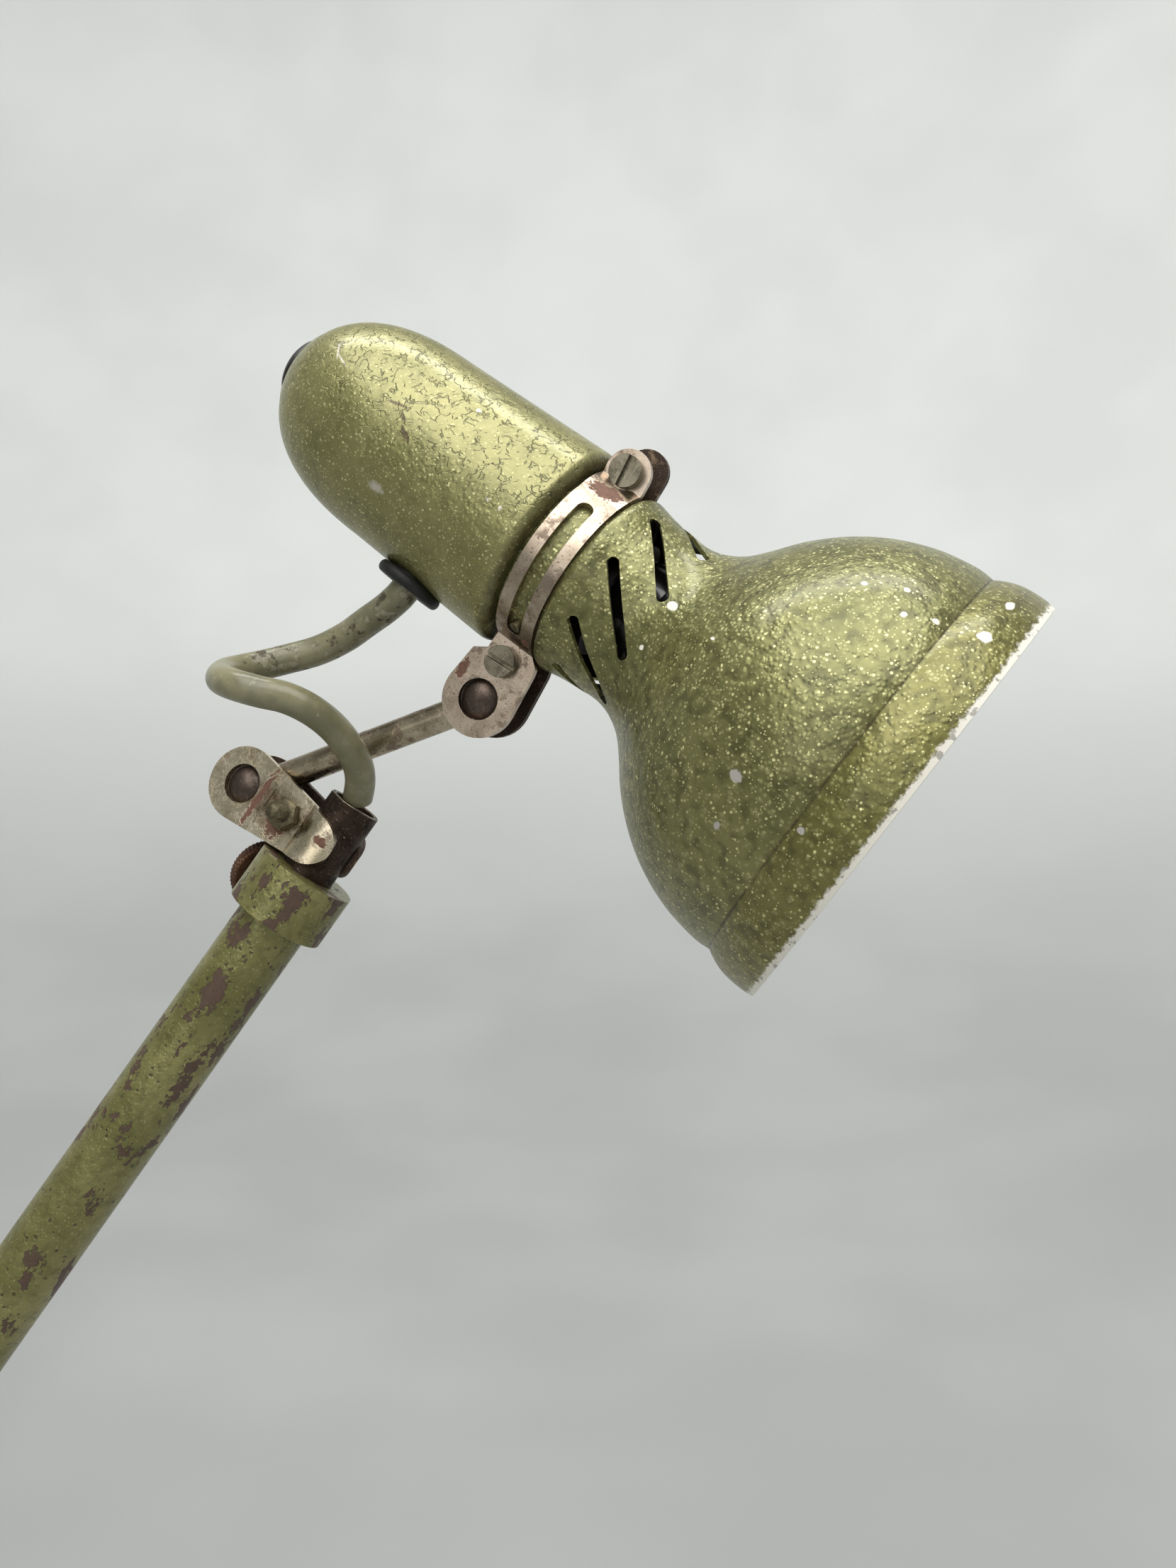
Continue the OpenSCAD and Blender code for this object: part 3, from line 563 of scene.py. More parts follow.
def cap_paint():
    look = Look("cap_paint", Metallic=0.55, Coat_Weight=0.25, Coat_Roughness=0.2)
    h = look.along(2)
    across = look.along(0)
    # Curved flow wrinkles on the upper side, small bumps below
    curl = look.cells(5.2, "DISTANCE_TO_EDGE", look.warped(5, 9))
    thin = look.fade(curl, 0.0, 0.055, 1, 0)
    curl_two = look.cells(3.6, "DISTANCE_TO_EDGE", look.warped(4, 7))
    thin_two = look.fade(curl_two, 0.0, 0.06, 1, 0)
    broken = look.fade(look.noise(2.4, 2), 0.48, 0.6)
    whole = look.fade(look.noise(3.0, 2), 0.46, 0.58)
    line = look.math("MAXIMUM", look.math("MULTIPLY", thin, whole), look.math("MULTIPLY", thin_two, broken))
    top = look.fade(look.math("ADD", across, look.math("MULTIPLY", look.noise(9, 3), 14)), -2, 14)
    line = look.math("MULTIPLY", line, look.blend(top, 0.25, 1.0))
    height, low = hammered(look, 2.8)
    colour = look.mix(look.fade(look.noise(20, 3), 0.35, 0.65), rgb(128, 126, 78), rgb(148, 144, 94))
    # Painted light: the upper side of the cap a little lighter
    colour = look.mix(look.math("MULTIPLY", top, 0.25), colour, rgb(168, 162, 114))
    cloudy = look.fade(look.noise(5, 4), 0.5, 0.72)
    colour = look.mix(look.math("MULTIPLY", cloudy, 0.4), colour, rgb(100, 98, 54))
    colour = look.mix(look.math("MULTIPLY", low, 0.22), colour, rgb(92, 90, 50))
    colour = look.mix(look.math("MULTIPLY", line, 0.5), colour, rgb(88, 84, 48))
    # Painted glints: pale flakes drawn as bright spots, fewer on the upper side
    bright = look.math("MAXIMUM", flake_glints(look, 1.3, 0.5), flake_glints(look, 0.7, 0.5))
    colour = look.mix(look.math("MULTIPLY", bright, look.blend(top, 0.8, 0.3)), colour, rgb(226, 220, 164))
    dark = look.spots([
        ((3, -27, 157), (0.5, 1.2, 2.8), (0, -14, 0)), ((1, -27, 153), (0.6, 1.2, 1.6), (0, 40, 0)),
        ((-2, -27.5, 150), (0.8, 1.2, 2.4), (0, 30, 0)), ((12, 25, 150), (0.6, 1.2, 2.8)),
    ], 0.7, 0.25)
    colour = look.mix(look.math("MULTIPLY", dark, 0.8), colour, rgb(70, 52, 34))
    pale = look.spots([
        ((-16, -22, 150), (1.2, 1.4, 2.6)), ((-3, -28, 122), (0.5, 0.8, 0.9)),
        ((14, -24, 140), (0.7, 0.8, 0.7)), ((-3, -29, 118), (0.7, 0.8, 0.5)),
        ((6, -24, 181), (0.3, 1.4, 3.2), (0, 50, 0)),
        ((4, -25, 177), (0.25, 1.2, 4.4), (0, 20, 0)), ((20, 19, 140), (1.1, 1.2, 1.5)),
    ], 0.6, 0.3)
    rubbed = look.math("MULTIPLY", look.fade(h, 187, 198), look.fade(look.noise(2, 4), 0.5, 0.62))
    bare = look.math("MAXIMUM", pale, look.math("MULTIPLY", rubbed, 0.6))
    colour = look.mix(look.math("MULTIPLY", bare, 0.85), colour, rgb(206, 200, 186))
    # Painted shade along the cap's lip, next to the band
    lip = look.math("MULTIPLY", look.fade(h, 110.2, 112.4, 1, 0), look.noise(3, 3))
    colour = look.mix(lip, colour, rgb(62, 58, 34))
    fine = look.noise(0.7, 3)
    scratch = look.fade(look.noise(1, 2, p=look.stretched(0.8, 0.8, 24, (10, 38, 0))), 0.72, 0.76)
    scratch = look.math("MULTIPLY", scratch, look.fade(look.noise(12, 2), 0.5, 0.6))
    colour = look.mix(look.math("MULTIPLY", scratch, 0.6), colour, rgb(206, 200, 170))
    bumps = look.math("MULTIPLY", height, look.blend(top, 0.9, 0.35))
    normal = look.bump(look.math("SUBTRACT", bumps, line), 0.2)
    grain = look.math("SUBTRACT", look.noise(1.3, 3), look.math("MULTIPLY", bare, 0.5))
    normal = look.bump(grain, 0.04, normal)
    return look.done(colour, look.blend(fine, 0.28, 0.46), normal)


def arm_paint(name, wear):
    """The same paint on the arm, with dark pits and flaked patches."""
    look = Look(name, Coat_Weight=0.2, Coat_Roughness=0.25)
    height, low = hammered(look, 1.9)
    colour = look.mix(look.fade(look.noise(22, 3), 0.35, 0.65), rgb(112, 110, 62), rgb(138, 134, 84))
    colour = look.mix(look.math("MULTIPLY", low, 0.3), colour, rgb(76, 74, 42))
    colour = look.mix(look.fade(look.noise(3, 4), 0.5, 0.75, 0, 0.5), colour, rgb(84, 78, 40))
    # Painted glints: a few pale flakes drawn as bright spots
    colour = look.mix(look.math("MULTIPLY", flake_glints(look, 1.0, 0.5), 0.3), colour, rgb(206, 200, 150))
    pits = look.fade(look.cells(2.4, p=look.warped(3, 2)), 0.12, 0.26, 1, 0)
    pits = look.math("MULTIPLY", pits, look.fade(look.noise(7, 2), 0.42, 0.56))
    flaked = look.fade(look.math("ADD", look.noise(8, 6, 0.66, p=look.stretched(1, 1, 2.0)),
                                 look.math("MULTIPLY", look.noise(1.2, 3), 0.16)), 0.69 - wear, 0.698 - wear)
    colour = look.mix(look.math("MULTIPLY", pits, 0.85), colour, rgb(54, 46, 30))
    brown = look.mix(look.noise(1.4, 4), rgb(58, 42, 34), rgb(96, 74, 58))
    colour = look.mix(flaked, colour, brown)
    gone = look.math("MAXIMUM", flaked, pits)
    normal = look.bump(look.math("MULTIPLY", height, look.math("SUBTRACT", 1, gone)), 0.14)
    grain = look.math("SUBTRACT", look.math("MULTIPLY", look.noise(0.6, 3), 0.35), gone)
    normal = look.bump(grain, 0.11, normal)
    rough = look.blend(flaked, look.blend(look.noise(0.8, 3), 0.28, 0.46), 0.6)
    return look.done(colour, rough, normal, look.blend(gone, 0.45, 0.1))


BROWN_FILM = rgb(84, 62, 46)


def worn_nickel(name, stains, dirt, base, brown=BROWN_FILM, dull_places=()):
    """Old nickel plate: fine scratches, pits, a brown film and bare spots."""
    look = Look(name, Metallic=1.0)
    cloudy = look.noise(6, 4)
    colour = look.mix(look.fade(cloudy, 0.35, 0.65), *base)
    if dull_places:
        broken = look.fade(look.noise(2, 4), 0.3, 0.6, 0.5, 0.9)
        soft = look.math("MULTIPLY", look.spots(dull_places, 0.5, 0.5), broken)
        colour = look.mix(soft, colour, rgb(112, 88, 64))
    film = look.fade(look.noise(4.5, 6, 0.7), 0.6 - dirt * 0.3, 0.7 - dirt * 0.22, 0, 0.3 + dirt)
    colour = look.mix(film, colour, brown)
    tiny = look.fade(look.noise(0.5, 3), 0.6 - dirt * 0.1, 0.7 - dirt * 0.1)
    colour = look.mix(look.math("MULTIPLY", tiny, 0.5), colour, rgb(96, 76, 58))
    pits = look.math("MULTIPLY", look.fade(look.cells(1.3), 0.1, 0.2, 1, 0),
                     look.fade(look.noise(5, 3), 0.42, 0.6))
    colour = look.mix(look.math("MULTIPLY", pits, 0.75), colour, rgb(54, 40, 30))
    rough = look.blend(film, look.blend(cloudy, 0.2, 0.34), 0.58)
    lines = look.noise(1, 3, 0.6, p=look.stretched(7, 0.5, 0.5, (0, 34, 0)))
    height = look.math("SUBTRACT", look.math("MULTIPLY", lines, 0.35), look.math("ADD", pits, film))
    metallic = look.blend(film, 1.0, 0.55)
    if stains:
        rust = look.spots(stains, 1.0, 0.12)
        colour = look.mix(rust, colour, look.mix(look.noise(1.2, 4), rgb(78, 50, 38), rgb(138, 100, 80)))
        rough = look.blend(rust, rough, 0.65)
        metallic = look.blend(rust, metallic, 0.1)
        height = look.math("SUBTRACT", height, rust)
    return look.done(colour, rough, look.bump(height, 0.05), metallic)


def steel(name, base, stain, roughness, amount=0.5, grain=1.0):
    """Bare or browned steel with dirt in patches and short scratches."""
    look = Look(name, Metallic=0.9)
    patch = look.fade(look.noise(4 * grain, 5, 0.62), 0.42, 0.66, 0, amount)
    fleck = look.fade(look.noise(0.5, 3), 0.6, 0.7, 0, 0.6)
    lines = look.noise(1, 3, 0.6, p=look.stretched(5, 0.4, 0.4, (20, 40, 10)))
    colour = look.mix(patch, base, stain)
    colour = look.mix(fleck, colour, stain)
    colour = look.mix(look.fade(lines, 0.6, 0.75, 0, 0.5), colour, rgb(205, 200, 190))
    rough = look.blend(patch, roughness, min(roughness + 0.3, 0.85))
    height = look.math("SUBTRACT", look.math("MULTIPLY", lines, 0.5), fleck)
    return look.done(colour, rough, look.bump(height, 0.05))


def dull(name, base, second, roughness, size=2.0, depth=0.03, **surface):
    """Rubber, plastic, china and the like: a fine grain and two close colours."""
    look = Look(name, **surface)
    cloudy = look.noise(size * 3, 4)
    colour = look.mix(look.fade(cloudy, 0.35, 0.68), base, second)
    grain = look.noise(size * 0.25, 3)
    return look.done(colour, look.blend(cloudy, roughness, roughness + 0.14), look.bump(grain, depth))


def lead_cover(name, grime):
    """The lead's rubber cover, olive grey, with dirt in bands and streaks."""
    look = Look(name)
    cloudy = look.noise(9, 3)
    colour = look.mix(look.fade(cloudy, 0.35, 0.65), rgb(112, 110, 84), rgb(136, 132, 104))
    colour = look.mix(look.fade(look.noise(1.4, 4, 0.6), 0.55, 0.75, 0, 0.25), colour, rgb(84, 80, 58))
    dirt = look.fade(look.noise(4.2, 6, 0.7), 0.63 - grime, 0.72 - grime)
    colour = look.mix(look.math("MULTIPLY", dirt, 0.8), colour, rgb(52, 40, 30))
    pale = look.fade(look.noise(3.1, 5, 0.7), 0.63 - grime * 0.6, 0.68 - grime * 0.6, 0, 0.5)
    colour = look.mix(pale, colour, rgb(168, 162, 142))
    height = look.math("SUBTRACT", look.noise(1.2, 4), look.math("MULTIPLY", dirt, 0.5))
    return look.done(colour, look.blend(dirt, 0.28, 0.7), look.bump(height, 0.05))


SHADE_PAINT = shade_paint()
INNER_ENAMEL = inner_paint()
CAP_PAINT = cap_paint()
COLLAR_PAINT = arm_paint("collar_paint", 0.075)
ARM_PAINT = arm_paint("arm_paint", 0.03)
CLAMP_PAINT = arm_paint("clamp_paint", 0.03)
BRIGHT_EDGE = worn_nickel("bright_edge", (), 0.1, (rgb(214, 206, 190), rgb(232, 226, 214)))
DARK_EDGE = worn_nickel("dark_edge", (), 0.5, (rgb(120, 108, 92), rgb(150, 138, 120)))
BAND_NICKEL = worn_nickel("band_nickel", [
    ((20.5, -14.5, 0.3), (3.2, 3, 4.4)), ((-38, -7, 8.4), (3.0, 2, 1.4)), ((-22, -13, -4), (1.6, 2, 1.2))],
    0.24, (rgb(170, 154, 136), rgb(196, 180, 162)))
PLATE_NICKEL = worn_nickel("plate_nickel", [
    ((2.4, -8.5, 1.2), (1.8, 2, 1.3)), ((-22, -7, 0), (1.1, 1.4, 9)), ((-13, -7, -3), (3, 1.4, 4))],
    0.34, (rgb(214, 200, 170), rgb(234, 222, 196)), rgb(88, 66, 44), [((-16, -8, 0.5), (11, 4, 5))])
# Painted shade: a darker copy of the nickel for the rear halves, with a heavy brown film
SHADED_NICKEL = worn_nickel("shaded_nickel", (), 0.9, (rgb(116, 98, 80), rgb(136, 118, 98)), rgb(56, 42, 34))
ROD_NICKEL = worn_nickel("rod_nickel", (), 0.3, (rgb(160, 148, 126), rgb(182, 170, 148)))
BALL_STEEL = steel("ball_steel", rgb(96, 84, 76), rgb(58, 46, 40), 0.38, 0.6)
STEM_STEEL = steel("stem_steel", rgb(62, 50, 42), rgb(38, 30, 24), 0.4, 0.7)
SCREW_STEEL = steel("screw_steel", rgb(136, 130, 112), rgb(80, 72, 58), 0.34, 0.6)
NUT_STEEL = steel("nut_steel", rgb(122, 114, 90), rgb(72, 64, 46), 0.42, 0.7)
CLAMP_STEEL = steel("clamp_steel", rgb(158, 154, 146), rgb(92, 80, 66), 0.3, 0.45, 2)
DARK_STEEL = steel("washer_steel", rgb(92, 88, 82), rgb(52, 44, 38), 0.4, 0.6)
RUSTY = steel("rusty_steel_look", rgb(104, 74, 56), rgb(58, 38, 28), 0.5, 0.75)
BRASS = steel("old_brass", rgb(168, 132, 82), rgb(112, 80, 44), 0.34, 0.5)
RUBBER = dull("grommet_rubber", rgb(16, 16, 16), rgb(28, 27, 26), 0.5, 2, 0.05)
PLASTIC = dull("switch_plastic", rgb(20, 20, 21), rgb(34, 33, 33), 0.3, 2, 0.02)
CHINA = dull("holder_bakelite", rgb(34, 26, 22), rgb(48, 36, 30), 0.3, 3, 0.02, Coat_Weight=0.4)
BROWN = dull("brown_cover", rgb(104, 62, 38), rgb(82, 48, 30), 0.4, 2, 0.02)
BLUE = dull("blue_cover", rgb(54, 92, 140), rgb(40, 74, 118), 0.4, 2, 0.02)
SHEATH_DIRTY = lead_cover("lead_cover_dirty", 0.1)
SHEATH = lead_cover("lead_cover", 0.0)


def bulb_look():
    """Pearl glass, with its neck painted near black: painted shade, as it is seen through the vents."""
    look = Look("pearl_glass", Coat_Weight=0.5)
    from_rim = look.vector("SUBTRACT", look.p, HEAD.translation / MM)
    h = look.vector("DOT_PRODUCT", from_rim, HEAD.col[2].xyz)
    h = look.math("ADD", h, look.math("MULTIPLY", look.noise(8, 4), 8))
    colour = look.mix(look.noise(10, 3), rgb(236, 236, 230), rgb(224, 223, 216))
    # Painted shade: the neck of the bulb near black
    colour = look.mix(look.fade(h, 46, 60), colour, rgb(20, 18, 16))
    return look.done(colour, look.blend(look.noise(4, 3), 0.14, 0.3), look.bump(look.noise(3, 2), 0.01))


PEARL = bulb_look()


# ---- Shade ----
def offset(line, d):
    """The outline moved to its left side."""
    made = []
    for i, p in enumerate(line):
        t = unit(line[min(i + 1, len(line) - 1)] - line[max(i - 1, 0)])
        made.append(p + d * Vector((-t.y, t.x)))
    return made


def slot_cutter(place, length, width):
    """A round-ended bar along X, standing along Z, to cut a slot."""
    verts, steps = [], 14
    for x in (16, 40):
        for s in (1, -1):
            for i in range(steps + 1):
                a = math.pi * i / steps + (0 if s > 0 else math.pi)
                verts.append((x, width / 2 * math.cos(a), s * length / 2 + width / 2 * math.sin(a)))
    count = len(verts) // 2
    faces = [tuple(range(count)), tuple(reversed(range(count, 2 * count)))]
    faces += [(k, (k + 1) % count, (k + 1) % count + count, k + count) for k in range(count)]
    mesh = mesh_from("slot", verts, faces)
    mesh.transform(place)
    return mesh


def make_shade():
    wall = 1
    skirt = [(58.6, 0), (58.9, 3), (58.8, 7), (58.3, 10), (57.2, 13), (56.1, 15)]
    bell = [(56.1, 15), (56.4, 19), (55.8, 24.5), (54.7, 30), (52.5, 36.5), (49.2, 43.3), (44.7, 50),
            (39.1, 56.3), (33.2, 61.5), (28.2, 66.5), (25.1, 72), (24, 77), (24.3, 82), (24.9, 88),
            (25.8, 92.5), (26, 94.5), (25.2, 95.9), (23.6, 96.5)]
    outer = smooth([Vector(p) for p in skirt], 3)[:-1] + smooth([Vector(p) for p in bell], 4)
    outer += [Vector((23.6, z)) for z in (99, 104, 109, 113)]
    inner = offset(outer, wall)
    rim = [Vector((58.35, -0.05)), Vector((58.0, -0.1)), Vector((57.75, 0.1))]
    end = [Vector((22.6, 113))]
    line = outer + end + list(reversed(inner[1:-1])) + list(reversed(rim))
    mesh = turned("shade", [(p.x, p.y) for p in line], 192, closed=True)
    vents, vent_h, first_at, slant = 9, 81, -102, -48
    slots = []
    for i in range(vents):
        place = shift(0, 0, vent_h) @ turn("Z", first_at + 360 / vents * i) @ turn("X", slant)
        slots.append(slot_cutter(place, 22, 2.9))
    obj = piece("spun_shade", cut(mesh, slots), HEAD, "shade", SHADE_PAINT, 30)
    # The inner faces look towards the axis
    obj.data.materials.append(INNER_ENAMEL)
    for face in obj.data.polygons:
        out = Vector((face.center.x, face.center.y, 0)).normalized()
        if face.normal.dot(out) < -0.15 and out.length > 0:
            face.material_index = 1


# ---- Cap ----
def cap_radius(h):
    if h < 158:
        return 29 + (27.6 - 29) * (h - 112.7) / (158 - 112.7)
    return 27.6 * (1 - min((h - 158) / 41, 1) ** 2.4) ** (1 / 2.4)


def make_cap():
    wall, bottom = 1, 109.7
    lip = [(26 + 3 * math.cos(math.radians(a)), bottom + 3 + 3 * math.sin(math.radians(a)))
           for a in range(-90, 1, 10)]
    side = [(cap_radius(h), h) for h in span(116, 158, 3)]
    dome = [(cap_radius(h), h) for h in span(159, 194, 1)]
    rear = [(14.4, 195.4), (11.8, 197), (10, 197.7), (8.6, 198.1)]
    outer = [Vector(p) for p in lip + side + dome + rear]
    inner = offset(outer, wall)[1:-1]
    line = [Vector((23.75, bottom))] + outer + [Vector((8.6, 197.1))] + list(reversed(inner))
    line.append(Vector((23.75, bottom + wall)))
    mesh = turned("cap", [(p.x, p.y) for p in line], 160, closed=True)
    hole = turned("hole", [(6, 0), (6, 40)], 48)
    hole.transform(shift(0, 0, LEAD_H) @ turn("Y", -90))
    piece("bullet_cap", cut(mesh, [hole]), HEAD, "cap_shell", CAP_PAINT, 40)


def make_grommet():
    """Rubber grommet in the cap's side, with a cushion-shaped outer flange."""
    hole, neck, flange = 4.13, 5.9, 9.6
    rows = [(hole, 23.4), (7.6, 23.4), (8, 23.8), (8, 25.3), (7.6, 25.7), (neck, 25.7), (neck, 28.4),
            (8.9, 28.4)]
    rows += [(flange - 1.3 + 1.3 * math.cos(a), 29.7 + 1.7 * math.sin(a))
             for a in [math.radians(d) for d in range(-60, 91, 15)]]
    rows += [(6.4, 31.3), (5.2, 31.1), (hole + 0.3, 30.9), (hole, 30.6)]
    place = HEAD @ shift(0, 0, LEAD_H) @ turn("Y", -90)
    piece("rubber_grommet", turned("grommet", rows, 72, closed=True), place, "lead_grommet", RUBBER, 50)


# ---- Lead: five stretches, each bending across one joint ----
ROUTE = [(217.4, -9.8, 416.6), (213, -7, 413.5), (207, -4, 410), (201, -1, 406.5), (193, 1, 403),
         (184, 1, 400.5), (178.5, 0, 399), (173.5, -3, 397.5), (170.5, -8, 396), (171, -15, 394),
         (174, -21, 392.5), (178.5, -25, 391), (184, -26, 389.5), (190.5, -25, 388), (196.5, -23, 385),
         (201, -19, 381), (204, -15, 376.5), (206, -11, 371.5), (206, -7, 367), (204.6, -3, 362.4)]
LEAD_R = 4.1


def make_lead():
    steps, sides = 8, 32
    path = smooth([Vector(p) for p in ROUTE], steps)
    # It starts on the axis of the grommet's hole
    path[0] = HEAD @ (Vector((-29.5, 0, LEAD_H)) * MM) / MM
    tangents = [unit(path[min(i + 1, len(path) - 1)] - path[max(i - 1, 0)]) for i in range(len(path))]
    side = unit(tangents[0].cross(Vector((0, 0, 1))))
    rings = []
    for p, t in zip(path, tangents):
        side = unit(side - t * side.dot(t))
        up = t.cross(side)
        rings.append([p + LEAD_R * (side * math.cos(2 * math.pi * k / sides)
                                    + up * math.sin(2 * math.pi * k / sides)) for k in range(sides)])
    # Node, where it starts and ends on the route in halves of its points, the two bodies, cover
    for node, first, last, a, b, material in (
            ("lead_at_band", 0, 8, "head", "swivel_band", SHEATH_DIRTY),
            ("lead_at_link", 8, 16, "swivel_band", "link", SHEATH_DIRTY),
            ("lead_at_ball", 16, 23, "link", "link_foot", SHEATH),
            ("lead_at_plates", 23, 31, "link_foot", "stem_plates", SHEATH),
            ("lead_at_stem", 31, 38, "stem_plates", "stem", SHEATH)):
        low, high = first * steps // 2, last * steps // 2
        verts = [v for ring in rings[low:high + 1] for v in ring]
        faces = [tuple(range(sides))] + ring_faces([(i, i + 1) for i in range(high - low)], sides)
        faces.append(tuple((high - low) * sides + k for k in reversed(range(sides))))
        obj = piece(node + "_cover", mesh_from(node, verts, faces), HOME, None, material, 60)
        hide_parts(node)
        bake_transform(obj, a, b, start=path[low] * MM, end=path[high] * MM)


# ---- Knurled and threaded parts ----
KNURLS = 54
KNURL_SIDES = 6 * KNURLS
KNURL = diamonds(KNURLS, 4.6, 0.42)


def make_thumbscrew(name, node, place, tip, wheel_at, wheel_r, wheel_t):
    rows = [(0.01, tip), (2.2, tip), (3, tip + 0.8), (3, wheel_at - 1.6), (4.9, wheel_at - 1.6),
            (5.2, wheel_at - 1.3), (5.2, wheel_at), (wheel_r - 0.9, wheel_at),
            (wheel_r - 0.45, wheel_at + 0.15)]
    rows += [(wheel_r, z, 1) for z in span(wheel_at + 0.5, wheel_at + wheel_t - 0.5, 0.23)]
    top = wheel_at + wheel_t
    rows += [(wheel_r - 0.45, top - 0.15), (wheel_r - 0.9, top), (wheel_r * 0.62, top),
             (wheel_r * 0.58, top - 0.3), (2.6, top - 0.3), (2.3, top - 0.05), (0.01, top - 0.05)]
    piece(name, turned(name, rows, KNURL_SIDES, KNURL), place, node, RUSTY, 42)


def make_knuckle_knob():
    rows = [(4.1, 0), (6.6, 0), (7, 0.4), (7, 3), (10.2, 3), (10.6, 3.2)]
    rows += [(11, z, 1) for z in span(3.5, 8.5, 0.25)]
    rows += [(10.6, 8.8), (10.2, 9), (4.4, 9), (4.1, 8.7)]
    mesh = turned("knob", rows, KNURL_SIDES, KNURL, closed=True)
    place = ARM @ shift(0, 10.35, 0) @ turn("X", -90)
    piece("knurled_knob", mesh, place, "knuckle_knob", RUSTY, 42)


def make_clamp_screw():
    top = -29.2
    rows = [(0.01, top), (3.2, top), (3.5, top - 0.3), (3.5, top - 5.5), (4.4, top - 5.6)]
    rows += [(5, z, 1) for z in reversed(span(top - 69.8, top - 6, 0.2))]
    rows += [(4.6, top - 70), (7.4, top - 70), (8, top - 70.6), (8, top - 83.2), (7.2, top - 84),
             (0.01, top - 84)]
    mesh = turned("spindle", rows, 64, thread(1.5, 0.6))
    hole = turned("hole", [(2.6, -20), (2.6, 20)], 40)
    hole.transform(shift(0, 0, top - 77) @ turn("X", 90))
    piece("threaded_spindle", cut(mesh, [hole]), HOME, "clamp_screw", CLAMP_STEEL, 38)


def ball_rows(r, hole, sign):
    """Rows of a ball with a flat round its rod, which leaves it along +Z or -Z."""
    low = math.degrees(math.asin(hole / r))
    angles = span(low, 179.5, 4)
    rows = [(r * math.sin(math.radians(a)), sign * r * math.cos(math.radians(a))) for a in angles]
    return rows + [(0.01, -sign * r)]


# ---- Everything, node by node ----
make_shade()
make_cap()
make_lead()
make_thumbscrew("collar_thumb", "collar_thumbscrew", LOCK, 7.7, 16.2, 10.5, 4.3)
make_thumbscrew("post_thumb", "post_thumbscrew", shift(0, 0, 26) @ turn("Y", -90), 6.1, 20.6, 9, 4)
make_knuckle_knob()
make_clamp_screw()

AXIS_X = turn("Y", 90)
BALL_R = 7.5
ROD_HOLE_R = 4.02
for name, node, place, sign in (
        ("lower_ball_turned", "lower_ball", LINK, 1), ("upper_ball_turned", "upper_ball", UPPER_BALL, -1)):
    ball = turned(node, ball_rows(BALL_R, ROD_HOLE_R, sign), 72)
    piece(name, ball, place @ AXIS_X, node, BALL_STEEL, 60)

BOLT = PLATES @ shift(-12.2, 0, 0.7) @ FACE_FRONT
NUT_AF = 8
NUT_HOLE_R = 2.4
piece("plates_stud", stud("stud", 2.5, -6.9, 14.4, 0.8, 0.4), BOLT, "stem_plate_bolt", NUT_STEEL, 50)
bolt_head = piece("plates_bolt_head", nut("bolt_head", NUT_AF, -10.2, -6.7, 0.01), BOLT, None, NUT_STEEL)
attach(bolt_head, "stem_plates")
piece("plates_nut", nut("nut", NUT_AF, 6.7, 9.4, NUT_HOLE_R), BOLT, "stem_plate_nut", NUT_STEEL)
EAR = BAND @ shift(27.6, 0, BAND_H + 0.9) @ FACE_FRONT
piece("ear_hex_nut", nut("nut", NUT_AF, -10.8, -7, NUT_HOLE_R), EAR, "ear_nut", SCREW_STEEL)
GRIP = BAND @ shift(-30, 0, BAND_H) @ FACE_FRONT
piece("plate_hex_nut", nut("nut", NUT_AF, -10.9, -7.1, NUT_HOLE_R), GRIP, "plate_nut", SCREW_STEEL)

for node, place, width, material, edge in (
        ("clamp_bracket", HOME, 0.8, CLAMP_PAINT, DARK_EDGE), ("screw_pad", HOME, 0.5, DARK_STEEL, None),
        ("tommy_bar", HOME, 0.2, CLAMP_STEEL, None), ("swivel_post", HOME, 0.5, CLAMP_STEEL, None),
        ("arm_fork", ARM, 0.6, CLAMP_PAINT, DARK_EDGE), ("arm_tube", ARM, 0.15, ARM_PAINT, None),
        ("arm_collar", ARM, 0.45, COLLAR_PAINT, DARK_EDGE), ("knuckle_bolt", ARM, 0.4, CLAMP_STEEL, None),
        ("knuckle_washers", ARM, 0.15, DARK_STEEL, None), ("cable_gland", ARM, 0.5, RUBBER, None),
        ("stem_tube", ARM, 0.3, STEM_STEEL, DARK_EDGE), ("link_rod", LINK, 0.3, ROD_NICKEL, None),
        ("stem_plate_front", PLATES, 0.42, PLATE_NICKEL, BRIGHT_EDGE),
        # The rear halves take the darker nickel copy: painted shade
        ("stem_plate_rear", PLATES, 0.35, SHADED_NICKEL, DARK_EDGE),
        ("band_half_front", BAND_MID, 0.42, BAND_NICKEL, BRIGHT_EDGE),
        ("band_half_rear", BAND_MID, 0.4, SHADED_NICKEL, BRIGHT_EDGE),
        ("ear_screw", BAND_MID, 0.42, SCREW_STEEL, None), ("plate_screw", BAND_MID, 0.42, SCREW_STEEL, None),
        ("swivel_stop_pin", BAND_MID, 0.35, NUT_STEEL, None), ("button_bezel", HEAD, 0.15, PLASTIC, None)):
    eased(node, place, width, material, edge)
make_grommet()

for node, material in (
        ("lead_in_arm", SHEATH), ("stem_guide_ring", BRASS), ("lead_in_stem", SHEATH),
        ("lead_in_cap", SHEATH), ("lamp_holder", CHINA), ("holder_shell", BRASS), ("holder_contact", BRASS),
        ("holder_bridge", CLAMP_STEEL), ("holder_screws", CLAMP_STEEL), ("bulb_glass", PEARL),
        ("bulb_base", BRASS), ("live_wire", BROWN), ("neutral_wire", BLUE), ("switched_wire", BROWN),
        ("switch_body", PLASTIC), ("button_spring", CLAMP_STEEL), ("push_button", PLASTIC)):
    NODES[node].material_slots[0].material = material


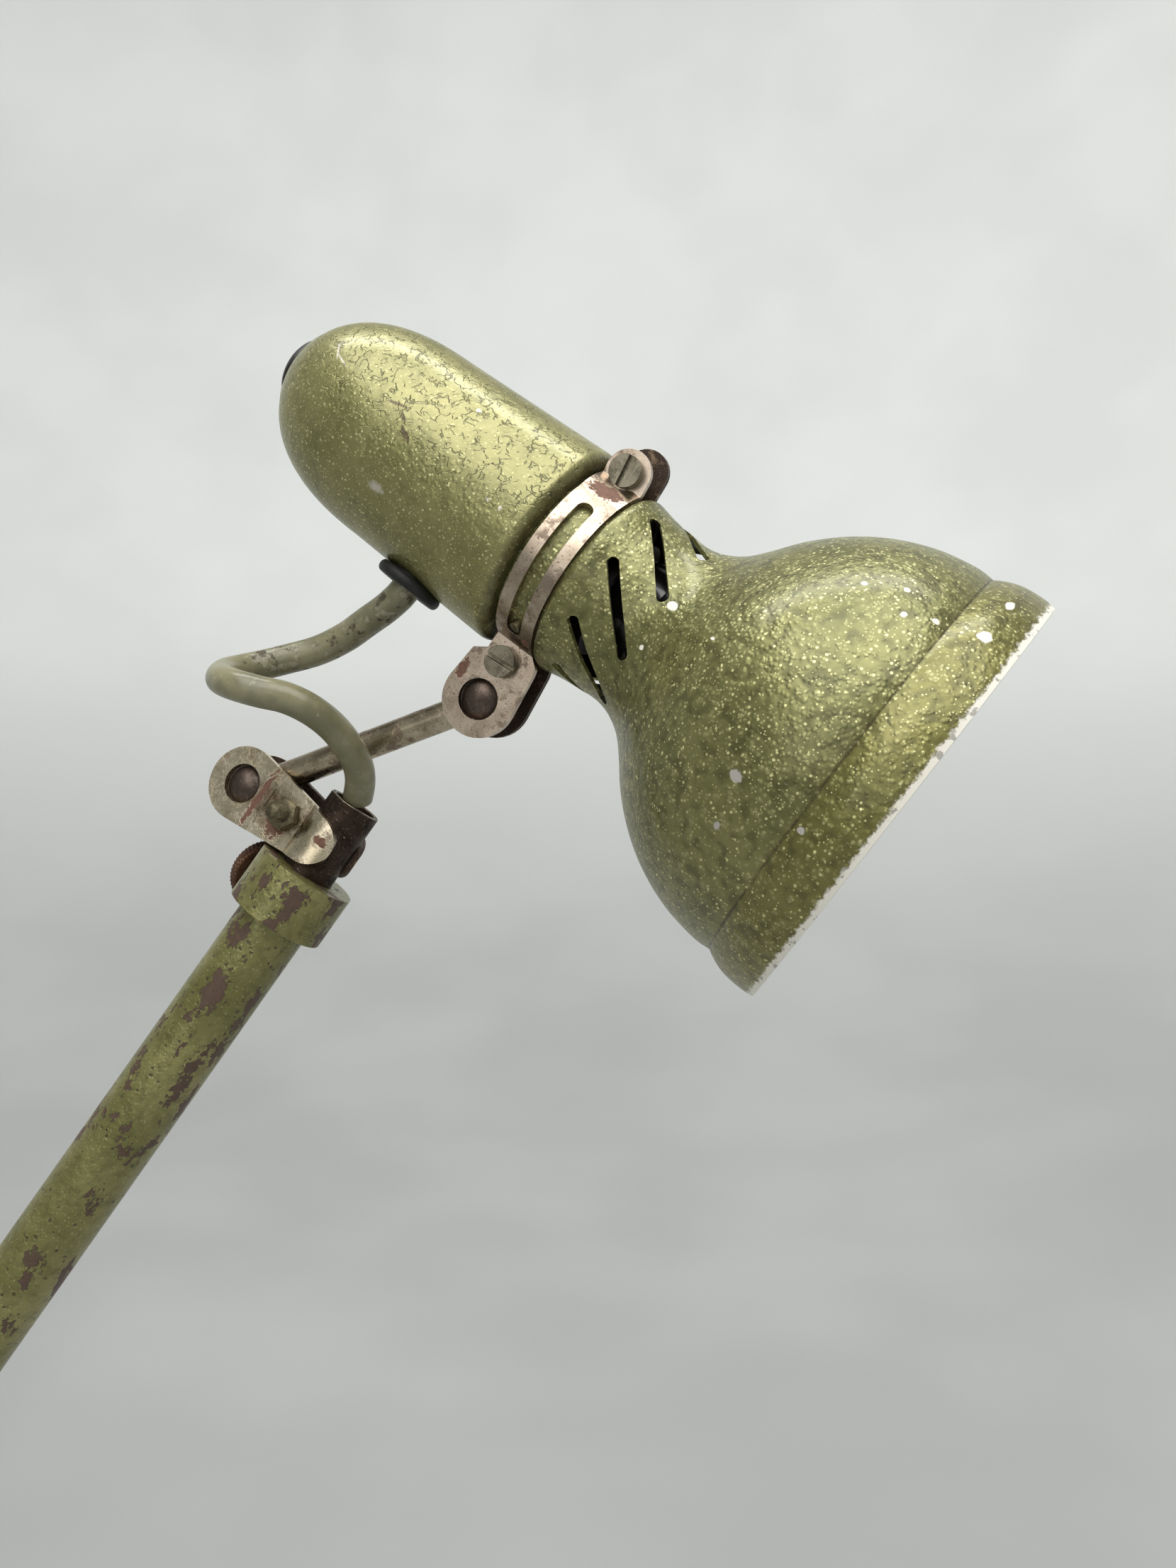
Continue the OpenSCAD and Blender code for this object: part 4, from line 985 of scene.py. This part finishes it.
# ---- Stage: a pale bowl with a flat floor, and soft light from above ----
def make_stage():
    floor_z = cad_box[0][2] * 1000 - 1
    floor_r, curve_r, wall_h = 900, 2100, 3200
    rows = [(0.01, floor_z), (floor_r, floor_z)]
    rows += [(floor_r + curve_r * math.sin(math.radians(a)),
              floor_z + curve_r * (1 - math.cos(math.radians(a)))) for a in range(5, 91, 5)]
    rows.append((floor_r + curve_r, floor_z + wall_h))
    verts, count = [], 96
    for r, z in rows:
        verts += [(r * math.cos(2 * math.pi * k / count), r * math.sin(2 * math.pi * k / count), z)
                  for k in range(count)]
    look = Look("plain_wall", Roughness=0.9)
    # Painted shade: the bowl darker down towards the floor and lighter up the wall
    colour = look.mix(look.fade(look.along(2), -120, 900), rgb(160, 161, 160), rgb(215, 217, 215))
    colour = look.mix(look.fade(look.noise(400, 2), 0.3, 0.7, 0, 0.3), colour, rgb(190, 192, 190))
    look.done(colour)
    mesh = mesh_from("stage", verts, ring_faces([(i, i + 1) for i in range(len(rows) - 1)], count))
    obj = bpy.data.objects.new("stage", mesh)
    bpy.context.scene.collection.objects.link(obj)
    mesh.materials.append(look.material)
    for face in mesh.polygons:
        face.use_smooth = True


def area_light(name, place, aim, size, power, colour=(1, 1, 1)):
    data = bpy.data.lights.new(name, "AREA")
    data.shape = "RECTANGLE"
    data.size, data.size_y = size
    data.energy = power
    data.color = colour
    obj = bpy.data.objects.new(name, data)
    obj.location = place
    obj.rotation_euler = (Vector(aim) - Vector(place)).to_track_quat("-Z", "Y").to_euler()
    bpy.context.scene.collection.objects.link(obj)


make_stage()
area_light("key", (0.3, -0.8, 1.55), (0.25, -0.02, 0.4), (1.7, 1.2), 24, (1, 0.995, 0.975))
area_light("front_fill", (-0.2, -1.5, 0.75), (0.25, -0.02, 0.36), (1.2, 1.0), 5, (1, 0.995, 0.985))
area_light("wall_wash", (0.25, 0.3, 2.6), (0.25, 2.9, 0.6), (2.2, 0.8), 62, (1, 1, 0.99))
world = bpy.data.worlds.new("soft_world")
world.use_nodes = True
world.node_tree.nodes["Background"].inputs[0].default_value = (0.985, 1, 0.985, 1)
world.node_tree.nodes["Background"].inputs[1].default_value = 0.22
bpy.context.scene.world = world
bpy.context.scene.view_settings.view_transform = "Standard"
